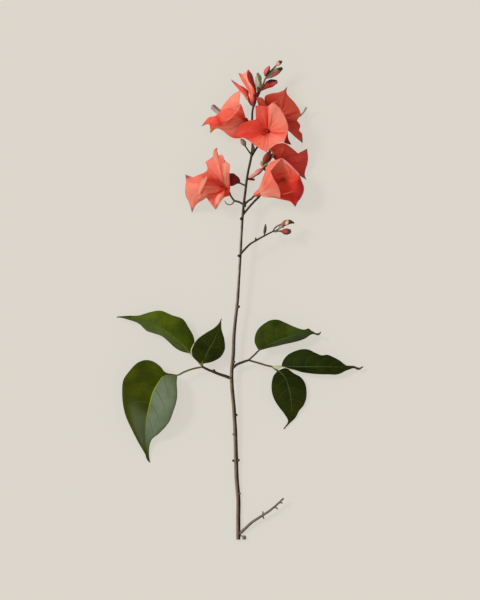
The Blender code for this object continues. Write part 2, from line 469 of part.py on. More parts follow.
BLOOMS = {
    "bloom_left": {
        "colour": SALMON,
        "thickness": [0.95, 1.4, 1.9, 1.7],
        "root": [(-8.1, 276.6, 12.6), (-9.2, 278.2, 12.3), (-11.2, 280.6, 13.8),
                 (-12, 281.4, 15.6)],
        "sheets": [("ring", (-11.6, 281, 15.2), 1.45, [
            [(-10, 286, 21.5), (-8.5, 294, 25.5)],
            [(-10.5, 289, 24), (-7.9, 299.7, 28)],
            [(-12, 291, 26), (-12.9, 304.5, 27)],
            [(-13, 292, 26.5), (-14.3, 307.6, 26)],
            [(-14, 293, 27.2), (-16.6, 307.4, 26.6)],
            [(-14.6, 292, 27.4), (-17.6, 304.5, 27.2), (-18.6, 313.4, 25.4)],
            [(-15.6, 291.5, 26), (-21.4, 306.8, 26)],
            [(-17.4, 290, 24), (-27.6, 302.2, 25)],
            [(-18, 288, 21.5), (-25.9, 296.8, 24)],
            [(-19.6, 286.6, 20.5), (-26, 289.6, 26), (-31, 291, 27.5), (-35, 291, 27)],
            [(-20.2, 285.8, 20.5), (-28, 288, 27.4), (-33.0, 289.2, 27.6), (-37, 290.2, 26.2)],
            [(-20.4, 285, 20.5), (-30, 286.2, 28.5), (-38, 286.6, 26), (-43.5, 292, 25)],
            [(-20.6, 284.5, 20.5), (-30.8, 284.6, 29), (-38.8, 285, 25), (-43, 286.6, 22)],
            [(-20.6, 284, 20.5), (-31, 283, 29.5), (-40, 283, 24.5), (-43.7, 281, 18)],
            [(-20.6, 282.5, 20.5), (-30.5, 280.5, 29), (-38.4, 278, 23), (-43.4, 276, 13)],
            [(-20.4, 281, 20), (-30, 278, 28), (-37.4, 273.4, 17), (-40.6, 269.8, 7)],
            [(-20, 279.5, 20), (-29, 275.8, 27), (-35.8, 270.4, 15), (-38.4, 262.2, 0.5)],
            [(-19.5, 278.2, 20), (-27.4, 275.4, 24), (-31.8, 272.8, 19.4), (-34.8, 268.8, 12)],
            [(-19, 277.6, 19.4), (-25.4, 276, 21.4), (-28, 274.2, 19.4), (-30, 271.6, 15.2)],
            [(-18.5, 276.6, 18.4), (-26.6, 273.4, 17.4)],
            [(-17, 275.4, 18.6), (-24.6, 270.8, 18.4)],
            [(-15, 274.8, 19.5), (-18.4, 269.4, 19.5), (-19.5, 264.4, 15)],
            [(-13.6, 275.2, 17.5), (-15.3, 271, 15.5)],
            [(-12.4, 276.2, 15.6), (-12.4, 274.2, 13.5)],
            [(-10.6, 277.4, 15), (-8.8, 275.2, 14)],
            [(-8.9, 280, 16.4), (-7.9, 280.4, 16.6)],
        ])],
    },
    "bloom_upper_left": {
        "colour": SALMON,
        "thickness": [0.95, 1.4, 1.9, 1.7],
        "root": [(7.8, 330.2, 14.6), (7.0, 332.0, 14.2), (5.4, 334.6, 14.6), (4.4, 336.4, 16)],
        "sheets": [
            ("fan", (5.0, 335.6, 15.4), 1.45, [
                [(3.6, 341, 18.5), (1.6, 347, 20.5), (0.6, 352.4, 19.5)],
                [(2.2, 342, 18), (-2.2, 350.4, 18.4), (0.6, 359.6, 16)],
                [(1, 342, 17), (-3.8, 349.4, 17.2), (-4.4, 357.2, 14)],
                [(-0.4, 341, 16.5), (-6, 346.4, 16), (-10.3, 351.4, 12.5)],
                [(-2, 339.6, 15.5), (-9, 343, 14.5), (-15.6, 343.8, 11)],
                [(-2.4, 337.6, 15), (-9, 338.6, 13.5), (-15.4, 338.6, 11.5)],
            ]),
            ("fan", (4.8, 335.2, 16), 1.45, [
                [(3.4, 341, 23), (0, 346.5, 25.5)],
                [(2, 341.4, 24.5), (-4.2, 345.4, 27)],
                [(0.4, 340.8, 25.5), (-5, 342.8, 27.6), (-13.6, 344, 23)],
                [(-0.6, 339.8, 26), (-8, 340.4, 28), (-19.5, 339.2, 20)],
                [(-1.6, 338.8, 26.4), (-10, 337.6, 28.4), (-22, 336, 20), (-30.6, 331, 13)],
                [(-2.4, 337.6, 26.6), (-10.8, 334.8, 28.4), (-18, 333, 24), (-24.6, 332.4, 18)],
                [(-2.2, 336, 24.5), (-11, 332.6, 26), (-19.4, 331.2, 21), (-23.7, 325.6, 14)],
                [(-1.4, 334.4, 21.5), (-9, 330, 21.5), (-19, 329.2, 18)],
                [(-0.4, 332.8, 19), (-6, 328.6, 19), (-14.4, 327.8, 17)],
                [(1.2, 331.2, 17), (-2, 326.8, 17), (-8, 322.8, 15)],
                [(2.8, 330.4, 15.6), (0.6, 326, 15.6), (-4, 321.4, 14)],
                [(4.4, 330.2, 14.6), (3.2, 326, 14.8), (1, 321.6, 13.5)],
            ]),
        ],
    },
    "bloom_center": {
        "colour": SALMON,
        "thickness": [0.95, 1.4, 1.9, 1.7],
        "root": [(18.6, 321.4, 14.4), (19.6, 323.0, 14.3), (21.4, 325.6, 16.4),
                 (22.2, 326.6, 22.2)],
        "sheets": [("ring", (22.2, 326.6, 21), 1.45, [
            [(31, 327, 28), (38.5, 328, 30)],
            [(30, 331.4, 28.5), (37.4, 334, 32)],
            [(28.4, 335, 29), (34.6, 342, 33.5)],
            [(27, 337, 29.5), (31.6, 346.4, 34.5)],
            [(25.6, 337.4, 30), (27.5, 350, 36)],
            [(23.8, 337.4, 29.5), (23.4, 346.8, 33.5)],
            [(22.6, 337, 26.5), (21.4, 346.4, 29)],
            [(20, 336.6, 27), (16.8, 346.8, 30.5)],
            [(17.4, 336, 27.5), (12.2, 347, 32)],
            [(15.6, 333.4, 26.5), (12.8, 335.9, 28.5)],
            [(13.6, 331, 26.5), (6, 334.6, 28.5)],
            [(12.6, 329, 26), (0.8, 331.8, 28)],
            [(12.4, 326.8, 26), (3, 325.6, 28.5), (-3.6, 322, 26.5)],
            [(13.6, 324.4, 26.2), (5, 320.4, 28)],
            [(16, 321.6, 27.5), (10.6, 316.2, 30)],
            [(18.6, 320, 28.5), (16.6, 312.2, 31.5)],
            [(20.8, 319.4, 29), (21, 309.8, 32)],
            [(23.4, 319.6, 28.5), (25.6, 313.8, 31.5)],
            [(26.2, 320.4, 28), (30.6, 317.2, 31)],
            [(28.8, 321.8, 27.5), (35.2, 318.2, 31)],
            [(30.6, 324.2, 27.5), (37, 322.6, 30)],
        ])],
    },
    "bloom_upper_right": {
        "colour": ORANGE_RED,
        "thickness": [0.95, 1.4, 1.9, 1.7],
        "root": [(22.8, 336, 10.2), (24.8, 336.2, 9.8), (27, 335.6, 10.2), (28.4, 335, 11.4)],
        "sheets": [("fan", (27.8, 335.2, 11), 1.45, [
            [(24.6, 340.6, 14.5), (14.6, 347.6, 21.5)],
            [(24.2, 342, 15), (16.8, 349.4, 20), (13.2, 357.2, 22)],
            [(24.8, 342.6, 15.4), (18.6, 349.4, 19.5), (16.6, 357, 22)],
            [(26, 343.8, 16), (19.4, 351.6, 19.5)],
            [(27, 345.4, 16.5), (20.2, 355.4, 20)],
            [(28.8, 346.2, 17), (25, 357.2, 19.5)],
            [(30.6, 346.4, 17), (31, 358, 18.5)],
            [(32, 346.2, 17), (34.9, 359.6, 17)],
            [(33, 345.8, 17), (35.8, 355, 17), (37.4, 362.6, 13.5)],
            [(34.2, 345, 16.5), (38, 356, 15)],
            [(35.8, 343.4, 16), (43.8, 349.8, 12.5)],
            [(37, 341, 15.5), (48.4, 341.4, 10)],
            [(37.2, 338.2, 14.5), (45.6, 335.7, 11)],
            [(37, 336, 14), (48.2, 331.6, 9.5)],
            [(36.6, 333.4, 13.6), (47.0, 327.2, 9)],
            [(36.4, 332.4, 13.4), (44.4, 327.2, 10), (49.8, 324.4, 8)],
            [(36, 331.6, 13.2), (45.4, 325, 9.4), (50.2, 317.6, 5.5)],
            [(35.6, 330.8, 13), (41.6, 326.8, 11.4), (44.6, 322, 9)],
            [(34.6, 329.8, 13), (38.4, 327, 12)],
            [(33.4, 328.8, 12.6), (38.6, 321.6, 11)],
            [(32.4, 328.4, 12.4), (41.2, 316.2, 9)],
            [(31.2, 328.4, 12.2), (36.2, 317.6, 10)],
            [(29.6, 328.6, 12), (31.6, 322, 10.5)],
        ])],
    },
    "bloom_right_back": {
        "colour": DEEP_RED,
        "thickness": [0.95, 1.4, 1.9, 1.7],
        "root": [(22.8, 303.8, 10.4), (23.6, 305.4, 10.3), (25, 307, 10.4), (26.2, 307.8, 11)],
        "sheets": [("fan", (25.8, 307.4, 10.8), 1.45, [
            [(25.4, 310.6, 12.6), (24.9, 313.5, 13)],
            [(27, 311, 14), (28, 316, 15.2)],
            [(29.2, 310.8, 15.4), (32.7, 317.4, 15.2)],
            [(31.6, 310.2, 15.8), (36.4, 317, 14.5)],
            [(33, 309.4, 15.8), (41, 313.8, 13.5)],
            [(34.2, 308.4, 15.6), (41.6, 308.6, 13.4), (46.6, 309.2, 10.7)],
            [(36, 306, 13.2), (47.4, 303.8, 10.8), (53.6, 313.2, 8.4)],
            [(36.2, 305, 12.8), (46.4, 302.4, 11), (54.4, 306, 7)],
            [(36, 303.8, 12.4), (45.2, 300.8, 10), (53.9, 301.4, 6)],
            [(35.8, 302.6, 12), (45, 298.2, 9), (51.8, 292.6, 3)],
            [(35.4, 301.6, 11.6), (44.4, 296.4, 8), (53.2, 288.4, 0.5)],
            [(34.6, 301, 11), (42, 296, 8), (48.2, 291.4, 4)],
            [(33, 300.4, 10.4), (40, 294.4, 8)],
            [(29.6, 301.6, 10), (33, 297, 8.5)],
        ])],
    },
    "bloom_right_front": {
        "colour": SALMON,
        "thickness": [0.95, 1.4, 1.9, 1.7],
        "root": [(11.0, 275.0, 15.0), (12.4, 276.4, 15.0), (14.6, 277.2, 15.4),
                 (16.2, 277.8, 16.2)],
        "sheets": [("ring", (14.8, 277.2, 15.4), 1.45, [
            [(20.4, 275.2, 19), (26.6, 275.2, 24), (32.2, 273.8, 26)],
            [(20.6, 277, 22), (26.8, 278.4, 29), (32.1, 277.6, 30)],
            [(20, 280, 24.5), (25.4, 283.2, 32.5), (30.3, 283, 34.5)],
            [(18.8, 283, 25.5), (23, 287.4, 33), (26.6, 289, 36)],
            [(18.4, 285, 24.5), (22.2, 291.4, 32), (24.4, 294.6, 35.5)],
            [(17.6, 285.6, 22.5), (21.6, 295.4, 29.5), (28, 299.4, 32)],
            [(16.6, 284.6, 20), (19.2, 291.6, 24), (23.8, 301.4, 27.5), (33.6, 305.4, 27)],
            [(17.8, 283.6, 17), (24, 292.6, 19.5), (31, 299.6, 23), (37.3, 302.6, 25.5)],
            [(18.8, 282.4, 15), (28, 289, 16.5), (38, 294, 20.5), (42.4, 297.6, 24.5)],
            [(19.6, 281.2, 13.8), (30, 286, 14.5), (41, 289.8, 19), (47.2, 292.6, 23)],
            [(20, 280.2, 13.2), (31, 283, 13.6), (42, 285.6, 18), (48.8, 288.2, 22)],
            [(20.2, 279, 12.8), (31, 280.8, 13.2), (43, 281.4, 17), (51.2, 280.8, 21)],
            [(20.2, 278, 12.6), (30.4, 278.4, 13.2), (41, 276.4, 16), (48, 272.6, 18.5)],
            [(20.2, 277, 12.6), (30, 276.6, 13.4), (40.4, 274, 15), (46.2, 270.4, 16.5)],
            [(20, 276.4, 12.8), (29.4, 275.4, 13.8), (40, 272.6, 15.4), (44.3, 266.4, 13)],
            [(20, 275.6, 13.6), (28.2, 274.6, 15), (36.4, 272, 17), (41.6, 270.2, 17)],
            [(20, 275, 16), (27, 274.2, 18.8), (33.4, 272.8, 20.5)],
        ])],
    },
    "top_bract_folded": {
        "colour": SALMON,
        "thickness": [0.7, 1.0, 1.4, 1.2],
        "root": [(10.6, 350.8, 19.6), (10.6, 351.8, 20.4), (10.3, 354.2, 22)],
        "sheets": [("fan", (10.5, 350.4, 20), 3.4, [
            [(8, 356.4, 21.8), (5.2, 361.8, 21.6), (1.6, 366.6, 21.6)],
            [(8.6, 357.4, 22.6), (4.4, 365.4, 22.8), (-1.2, 373.2, 21)],
            [(9.2, 358, 23.6), (6.4, 366.2, 24.6), (2.6, 372.4, 24.2)],
            [(9.8, 358, 24.2), (8, 366.6, 26), (4.8, 373.8, 25.6)],
            [(10.4, 357.8, 24.4), (9.6, 365.6, 26.4), (6.6, 376, 24.6)],
            [(11, 357.2, 23.2), (11, 363.4, 23.6), (9.4, 372, 22)],
            [(11.6, 356.2, 21.6), (12, 360, 21), (11.4, 364.6, 20.6)],
        ])],
    },
    "top_bract_narrow": {
        "colour": SALMON,
        "thickness": [0.7, 1.0, 1.4, 1.2],
        "root": [(9.4, 347.6, 17.8), (8.7, 349, 18.2), (7.0, 352.6, 18.9)],
        "sheets": [("fan", (9.2, 349.2, 17.9), 3.2, [
            [(7.0, 355, 18.4), (6.8, 358.8, 18.4)],
            [(5.8, 356.4, 19.4), (3.6, 361.6, 20)],
            [(4.8, 356.6, 20.2), (1.4, 361, 20.8), (-1.4, 364.4, 20.8)],
            [(4.2, 356, 20.2), (-0.6, 361, 21), (-7.1, 368.2, 19.5)],
            [(3.8, 355.2, 19.6), (-0.4, 359.6, 19.8), (-4.2, 364, 19.4)],
            [(4, 354.2, 18.8), (1, 357.6, 18.6)],
            [(5.2, 352.6, 18), (4.0, 354.4, 17.8)],
        ])],
    },
}


def sheet_rows(middle, radius, ribs):
    """The grid of a sheet of bracts, with as many points along one line as along another."""
    middle = Vector(middle)
    most = max(len(rib) for rib in ribs)
    lines = []
    for rib in ribs:
        line = [Vector(p) for p in rib]
        line.insert(0, middle + (line[0] - middle).normalized() * radius)
        if len(rib) < most:
            line = evenly(line, most)
        lines.append(spline(line, BRACT_STEPS))
    return [list(row) for row in zip(*lines)]


def build_bloom(name, bloom, sprig):
    """Bracts round the thick end of the flower's stalk, joined in one body."""
    root = [Vector(p) for p in bloom["root"]]
    root[0] += (root[1] - root[0]).normalized() * PIECE_GAP
    pieces = [tube("base", root, bloom["thickness"], BUD_SIDES)]
    for form, middle, radius, ribs in bloom["sheets"]:
        grid = sheet_rows(middle, radius, ribs)
        pieces.append(thick_sheet("bracts", grid, BRACT_THICKNESS, form == "ring"))
    paper = finish(name + "_paper", bloom["colour"], 0.6)
    settle(fuse(name, pieces), bloom["root"][0], paper, sprig)


# Buds, florets and small scales: a middle line from where each grows, and its radii along it

BUDS = {
    "bud_dark_red": ([(-0.7, 285.9, 13.0), (-2.0, 286.8, 12.0), (-5.2, 288.4, 10.8),
                      (-9.0, 289, 9.4), (-11.4, 289.2, 8.6)],
                     [1.0, 3.2, 5.2, 4.6, 2.6], WINE_RED),
    "bud_top_green": ([(14.6, 357.6, 19.6), (14.8, 360.6, 22.6), (14.8, 366.4, 24.4),
                       (14.2, 373, 24)], [0.9, 2.0, 2.8, 2.4, 0.8], BUD_GREEN),
    "bud_top_red": ([(18.9, 362.0, 19.6), (21.4, 363.6, 19.6), (25.6, 365.4, 19.4),
                     (29.6, 366.4, 19)], [0.6, 2.0, 2.8, 2.4, 0.7], DEEP_RED),
    "bud_top_upper_red": ([(19.7, 370.6, 20.8), (20.2, 372.6, 21.8), (21.6, 376, 22.4),
                           (23.4, 379.4, 22.4)], [0.6, 1.9, 2.3, 1.8, 0.5], SALMON),
    "bud_top_long": ([(22.2, 370.0, 18.3), (25.6, 372.4, 16.8), (29.8, 375.2, 16.4),
                      (34.4, 378.2, 16.4)], [0.6, 1.8, 2.0, 1.9, 0.6], BUD_GREEN),
    "bud_tip": ([(28.9, 379.2, 20.0), (30.0, 380.3, 20.2), (32, 382, 20.4),
                 (33.6, 383.3, 20.4)], [0.6, 1.5, 1.7, 1.2, 0.5], SALMON),
    "bud_olive": ([(4.2, 315.1, 17.9), (3.6, 316.2, 18.2), (2.6, 318, 18.6),
                   (0.8, 320.6, 19)], [0.7, 1.7, 2.1, 1.7, 0.6], BUD_GREEN),
    "side_bract_pink": ([(7.6, 290.2, 15.4), (10, 291.6, 15.2), (14, 294.4, 14.8),
                         (18.2, 297.4, 14)], [0.5, 1.6, 1.9, 1.7, 0.7], SALMON),
    "side_bud_orange": ([(19.2, 299.6, 12.4), (19.6, 302, 13.8), (20.8, 305.6, 15.4),
                         (22.6, 310, 17)], [0.7, 1.9, 2.4, 2.0, 0.7], BUD_BROWN),
    "bud_twig_leaflet": ([(19.6, 244.6, 16.2), (19.8, 246.8, 17), (20.2, 249.6, 17.6),
                          (20.4, 252.4, 17.6)], [0.5, 1.1, 1.2, 0.9, 0.4], LEAF_GREEN),
    "bud_twig_brown": ([(30.7, 248.6, 17.1), (32.6, 250.8, 17.6), (36.6, 253.4, 18),
                        (40.4, 253.6, 18), (43.8, 253.5, 17.8)],
                       [0.6, 1.4, 2.1, 1.9, 0.7], BUD_BROWN),
    "bud_twig_red": ([(31.0, 247.7, 16.6), (33, 246.8, 16), (36.2, 246.8, 15.4),
                      (40, 246.8, 15)], [0.6, 2.0, 3.0, 2.8, 1.0], DEEP_RED),
    "floret_upper_left": ([(-11.6, 341.2, 9.6), (-15.4, 343.2, 8.4), (-18.6, 345.4, 8.2),
                           (-22, 347.6, 8.6)], [1.2, 1.6, 1.7, 2.0], FLORET_GREY),
    "floret_upper_right": ([(44.4, 337.2, 9.4), (48.2, 339.6, 8.4), (51.2, 342.8, 8),
                            (53, 346, 8.6)], [0.6, 0.6, 0.55, 0.8], FLORET_GREY),
    "floret_front": ([(17.28, 278.3, 16.7), (24, 282, 18), (30.6, 285.6, 19), (35.2, 288.2, 20)],
                     [0.8, 0.9, 0.9, 1.2], DEEP_RED),
    "floret_center": ([(22.6, 327.2, 23.2), (23.2, 327.8, 25.0), (22, 327.4, 26.6),
                       (19.6, 325.8, 27.2)], [0.7, 0.8, 0.8, 0.6], DEEP_RED),
    "floret_left": ([(-12.4, 282.0, 18.2), (-14.6, 284.4, 21.6), (-16.8, 286.8, 24.6),
                     (-18.4, 288.4, 26.8)], [0.7, 0.8, 0.8, 1.0], DEEP_RED),
}


def build_bud(name, path, radii, colour, sprig):
    bud = tube(name, path, radii, BUD_SIDES, len(radii) + 1)
    settle(bud, path[0], finish(name + "_skin", colour, 0.55), sprig)


def main():
    for old in list(bpy.data.objects):
        bpy.data.objects.remove(old)
    sprig = bpy.data.objects.new("sprig", None)
    bpy.context.scene.collection.objects.link(sprig)
    build_stem(sprig, finish("bark", BARK, 0.8))
    for name, shape in LEAVES.items():
        build_leaf(name, shape, sprig, finish(name + "_green", LEAF_GREEN, 0.45))
    for name, bloom in BLOOMS.items():
        build_bloom(name, bloom, sprig)
    for name, (path, radii, colour) in BUDS.items():
        build_bud(name, path, radii, colour, sprig)


main()
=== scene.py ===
# %% [markdown]
# # A cut flowering sprig of bougainvillea
#
# The sprig lies on a pale table and the camera looks straight down on it. The solid model is
# loaded first. It gives every piece its place and size. Each of its nodes is then replaced by
# a finer piece: thin bracts, veined leaves, bark, buds. All places are in millimetres on the
# sprig, with y along the stem from its cut end, and place() turns them into metres.

# %% The frame and the tools
import math

import bpy
import numpy as np
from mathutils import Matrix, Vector, noise


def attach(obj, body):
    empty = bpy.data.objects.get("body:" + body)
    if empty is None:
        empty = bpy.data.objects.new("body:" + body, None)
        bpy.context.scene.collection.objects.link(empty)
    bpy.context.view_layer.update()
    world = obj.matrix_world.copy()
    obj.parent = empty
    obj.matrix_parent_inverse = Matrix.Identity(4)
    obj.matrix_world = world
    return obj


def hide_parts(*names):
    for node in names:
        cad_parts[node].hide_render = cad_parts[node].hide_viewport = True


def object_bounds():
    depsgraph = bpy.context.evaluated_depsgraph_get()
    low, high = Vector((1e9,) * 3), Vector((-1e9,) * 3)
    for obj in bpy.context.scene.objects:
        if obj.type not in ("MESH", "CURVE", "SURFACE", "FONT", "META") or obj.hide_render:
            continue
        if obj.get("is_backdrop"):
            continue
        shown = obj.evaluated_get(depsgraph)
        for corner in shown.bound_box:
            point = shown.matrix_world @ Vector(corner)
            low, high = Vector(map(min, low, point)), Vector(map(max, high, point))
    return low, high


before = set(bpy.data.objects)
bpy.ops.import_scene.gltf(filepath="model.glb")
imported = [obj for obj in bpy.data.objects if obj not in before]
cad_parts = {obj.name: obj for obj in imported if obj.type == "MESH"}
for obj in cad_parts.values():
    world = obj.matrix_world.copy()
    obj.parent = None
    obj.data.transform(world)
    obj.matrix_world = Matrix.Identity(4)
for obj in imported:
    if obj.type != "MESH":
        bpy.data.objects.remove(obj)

SPRIG_LENGTH = 384.0
cad_box = [list(corner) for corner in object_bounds()]


def rounded(box):
    """A box in metres, to a tenth of a millimetre."""
    return [[round(c, 4) for c in corner] for corner in box]


def place(points):
    """Millimetres on the sprig, as metres in the model's own frame."""
    points = np.array(points, float)
    points[..., 1] -= SPRIG_LENGTH / 2
    return points / 1000


print("nodes:", len(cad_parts), "box:", rounded(cad_box))

# %% [markdown]
# ## Smooth lines
#
# A bract or a leaf is drawn by a few lines, as a maker of paper flowers would wire it. A curve
# has to pass through the points of a line, and then a surface has to pass from line to line.
# One function does both. It takes the spacing of the points into account, because evenly
# timed curves swing out where two close points follow two distant ones. It can also turn a
# corner, which makes the crease along the middle of a bract.

# %% A smooth curve through points
def smooth(points, steps, corners=(), closed=False):
    """Points on a curve through the given ones, with the given steps from one to the next."""
    points = np.asarray(points, float)
    count = len(points)
    chords = np.roll(points, -1, 0) - points
    gaps = np.linalg.norm(chords[..., :3].reshape(count, -1, min(3, points.shape[-1])), axis=2)
    gaps = np.maximum(gaps.mean(1), 1e-6).reshape((count,) + (1,) * (points.ndim - 1))
    pace = chords / gaps
    before, gaps_before = np.roll(pace, 1, 0), np.roll(gaps, 1, 0)
    slope = (pace * gaps_before + before * gaps) / (gaps + gaps_before)
    curve = []
    for i in range(count if closed else count - 1):
        j = (i + 1) % count
        free_start = i in corners or (i == 0 and not closed)
        free_end = j in corners or (j == count - 1 and not closed)
        leave = chords[i] if free_start else slope[i] * gaps[i]
        arrive = chords[i] if free_end else slope[j] * gaps[i]
        for t in np.arange(steps) / steps:
            curve.append(points[i] * (1 + 2 * t) * (1 - t) ** 2 + points[j] * t * t * (3 - 2 * t)
                         + leave * t * (1 - t) ** 2 - arrive * t * t * (1 - t))
    if not closed:
        curve.append(points[-1])
    return np.array(curve)


def evenly(points, count):
    """count + 1 points, evenly spaced along the smooth curve through the given ones."""
    curve = smooth(points, 12)
    steps = np.linalg.norm(np.diff(curve[:, :3], axis=0), axis=1)
    lengths = np.concatenate([[0], np.cumsum(steps)])
    wanted = np.linspace(0, lengths[-1], count + 1)
    return np.stack([np.interp(wanted, lengths, part) for part in curve.T], 1)


def spread(values, places):
    """A row of values, read at places from 0 at its start to 1 at its end."""
    return np.interp(places, np.linspace(0, 1, len(values)), values)


print("a smooth line of", len(smooth([(0, 0, 0), (1, 1, 0), (3, 0, 0)], 8)), "points")

# %% [markdown]
# ## A sheet as a mesh
#
# A sheet is a grid of points: one row after another, from column to column. It could be
# thickened here point by point. The Solidify modifier does that as well, keeps the thickness
# even round a fold and carries the texture coordinates over to the second face, so the grid
# stays a single layer. Two texture coordinates travel with it: where a point lies across the
# sheet and how far from its root it lies. The veins follow them. Two painted values travel
# along too: how deep the red is, with painted shade and highlights worked into it, and how
# dry the tip is.

# %% Grids, normals and painted values
PAPER_THICKNESS = 0.3


def unit(ways):
    """Directions, each made one long."""
    return ways / np.maximum(np.linalg.norm(ways, axis=-1, keepdims=True), 1e-9)


def normals(grid, closed):
    """The direction that each point of the grid faces."""
    around = np.roll(grid, -1, 1) - np.roll(grid, 1, 1) if closed else np.gradient(grid, axis=1)
    return unit(np.cross(np.gradient(grid, axis=0), around))


def rough(points, size, seed=0.0):
    """Smooth random heights from -1 to 1 at the points, with bumps of the given size in mm."""
    flat = np.asarray(points).reshape(-1, 3)
    heights = [noise.noise(Vector((x / size + seed, y / size - seed, z / size)))
               for x, y, z in flat]
    return np.array(heights).reshape(np.shape(points)[:-1])


def quads(rows, columns, closed, across):
    """The faces of a grid of points, and a texture coordinate for each of their corners."""
    faces, corners = [], []
    for i in range(rows - 1):
        row, above = i * columns, (i + 1) * columns
        low, high = i / (rows - 1), (i + 1) / (rows - 1)
        for k in range(columns if closed else columns - 1):
            after = (k + 1) % columns
            faces.append((row + k, row + after, above + after, above + k))
            corners += [(across[k], low), (across[k + 1], low),
                        (across[k + 1], high), (across[k], high)]
    return faces, corners


def paint_on(mesh, painted):
    """Store values on the points of a mesh, each row under its label."""
    for label, values in painted.items():
        layer = mesh.attributes.new(label, "FLOAT", "POINT")
        layer.data.foreach_set("value", values.astype(np.float32).ravel())


def new_object(name, points, faces, corners=None):
    """A mesh on points in mm, with the texture coordinates of its face corners."""
    mesh = bpy.data.meshes.new(name)
    mesh.from_pydata(place(points).reshape(-1, 3), [], faces)
    if corners:
        layer = mesh.uv_layers.new(name="blade")
        layer.uv.foreach_set("vector", np.array(corners, np.float32).ravel())
    mesh.shade_smooth()
    made = bpy.data.objects.new(name, mesh)
    bpy.context.scene.collection.objects.link(made)
    return made


def sheet_object(name, grid, across, closed=False, painted=None, thickness=PAPER_THICKNESS):
    """A thin sheet on a grid of points in mm. across holds each column's texture coordinate."""
    sheet = new_object(name, grid, *quads(*grid.shape[:2], closed, across))
    paint_on(sheet.data, painted or {})
    skin = sheet.modifiers.new("thickness", "SOLIDIFY")
    skin.thickness = thickness / 1000
    skin.offset = 0
    return sheet


def hand_in(piece, node, slot, finish):
    """Give the piece its finish and let it stand for its node of the solid model."""
    piece.data.materials.append(finish)
    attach(piece, "root")
    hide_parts(node)
    return piece


print("sheets are made by sheet_object()")

# %% [markdown]
# ## Shader maths in Python
#
# The finishes are sums: a base colour, less a vein, plus a cloud of paler pigment. Drawn as
# nodes these sums are hard to read, so a small class wraps a node's output and lets Python's
# own operators add the Math nodes. Everything else, such as a noise or a ramp, comes from one
# method that makes a node from its type, its settings and what goes into its sockets.

# %% Sockets that can be added and multiplied
class Wire:
    """The output of a node. Arithmetic on it adds a Math node and gives its output."""

    def __init__(self, finish, socket):
        self.finish, self.socket = finish, socket

    def __add__(self, other):
        return self.finish.maths("ADD", self, other)

    def __radd__(self, other):
        return self.finish.maths("ADD", other, self)

    def __sub__(self, other):
        return self.finish.maths("SUBTRACT", self, other)

    def __rsub__(self, other):
        return self.finish.maths("SUBTRACT", other, self)

    def __mul__(self, other):
        return self.finish.maths("MULTIPLY", self, other)

    def __rmul__(self, other):
        return self.finish.maths("MULTIPLY", other, self)

    def __pow__(self, other):
        return self.finish.maths("POWER", self, other)

    def __abs__(self):
        return self.finish.maths("ABSOLUTE", self)


def linear(colour):
    """A colour as seen on a screen, 0 to 255, as the light it stands for."""
    shares = np.array(colour, float) / 255
    light = np.where(shares <= 0.04045, shares / 12.92, ((shares + 0.055) / 1.055) ** 2.4)
    return tuple(light) + (1.0,)


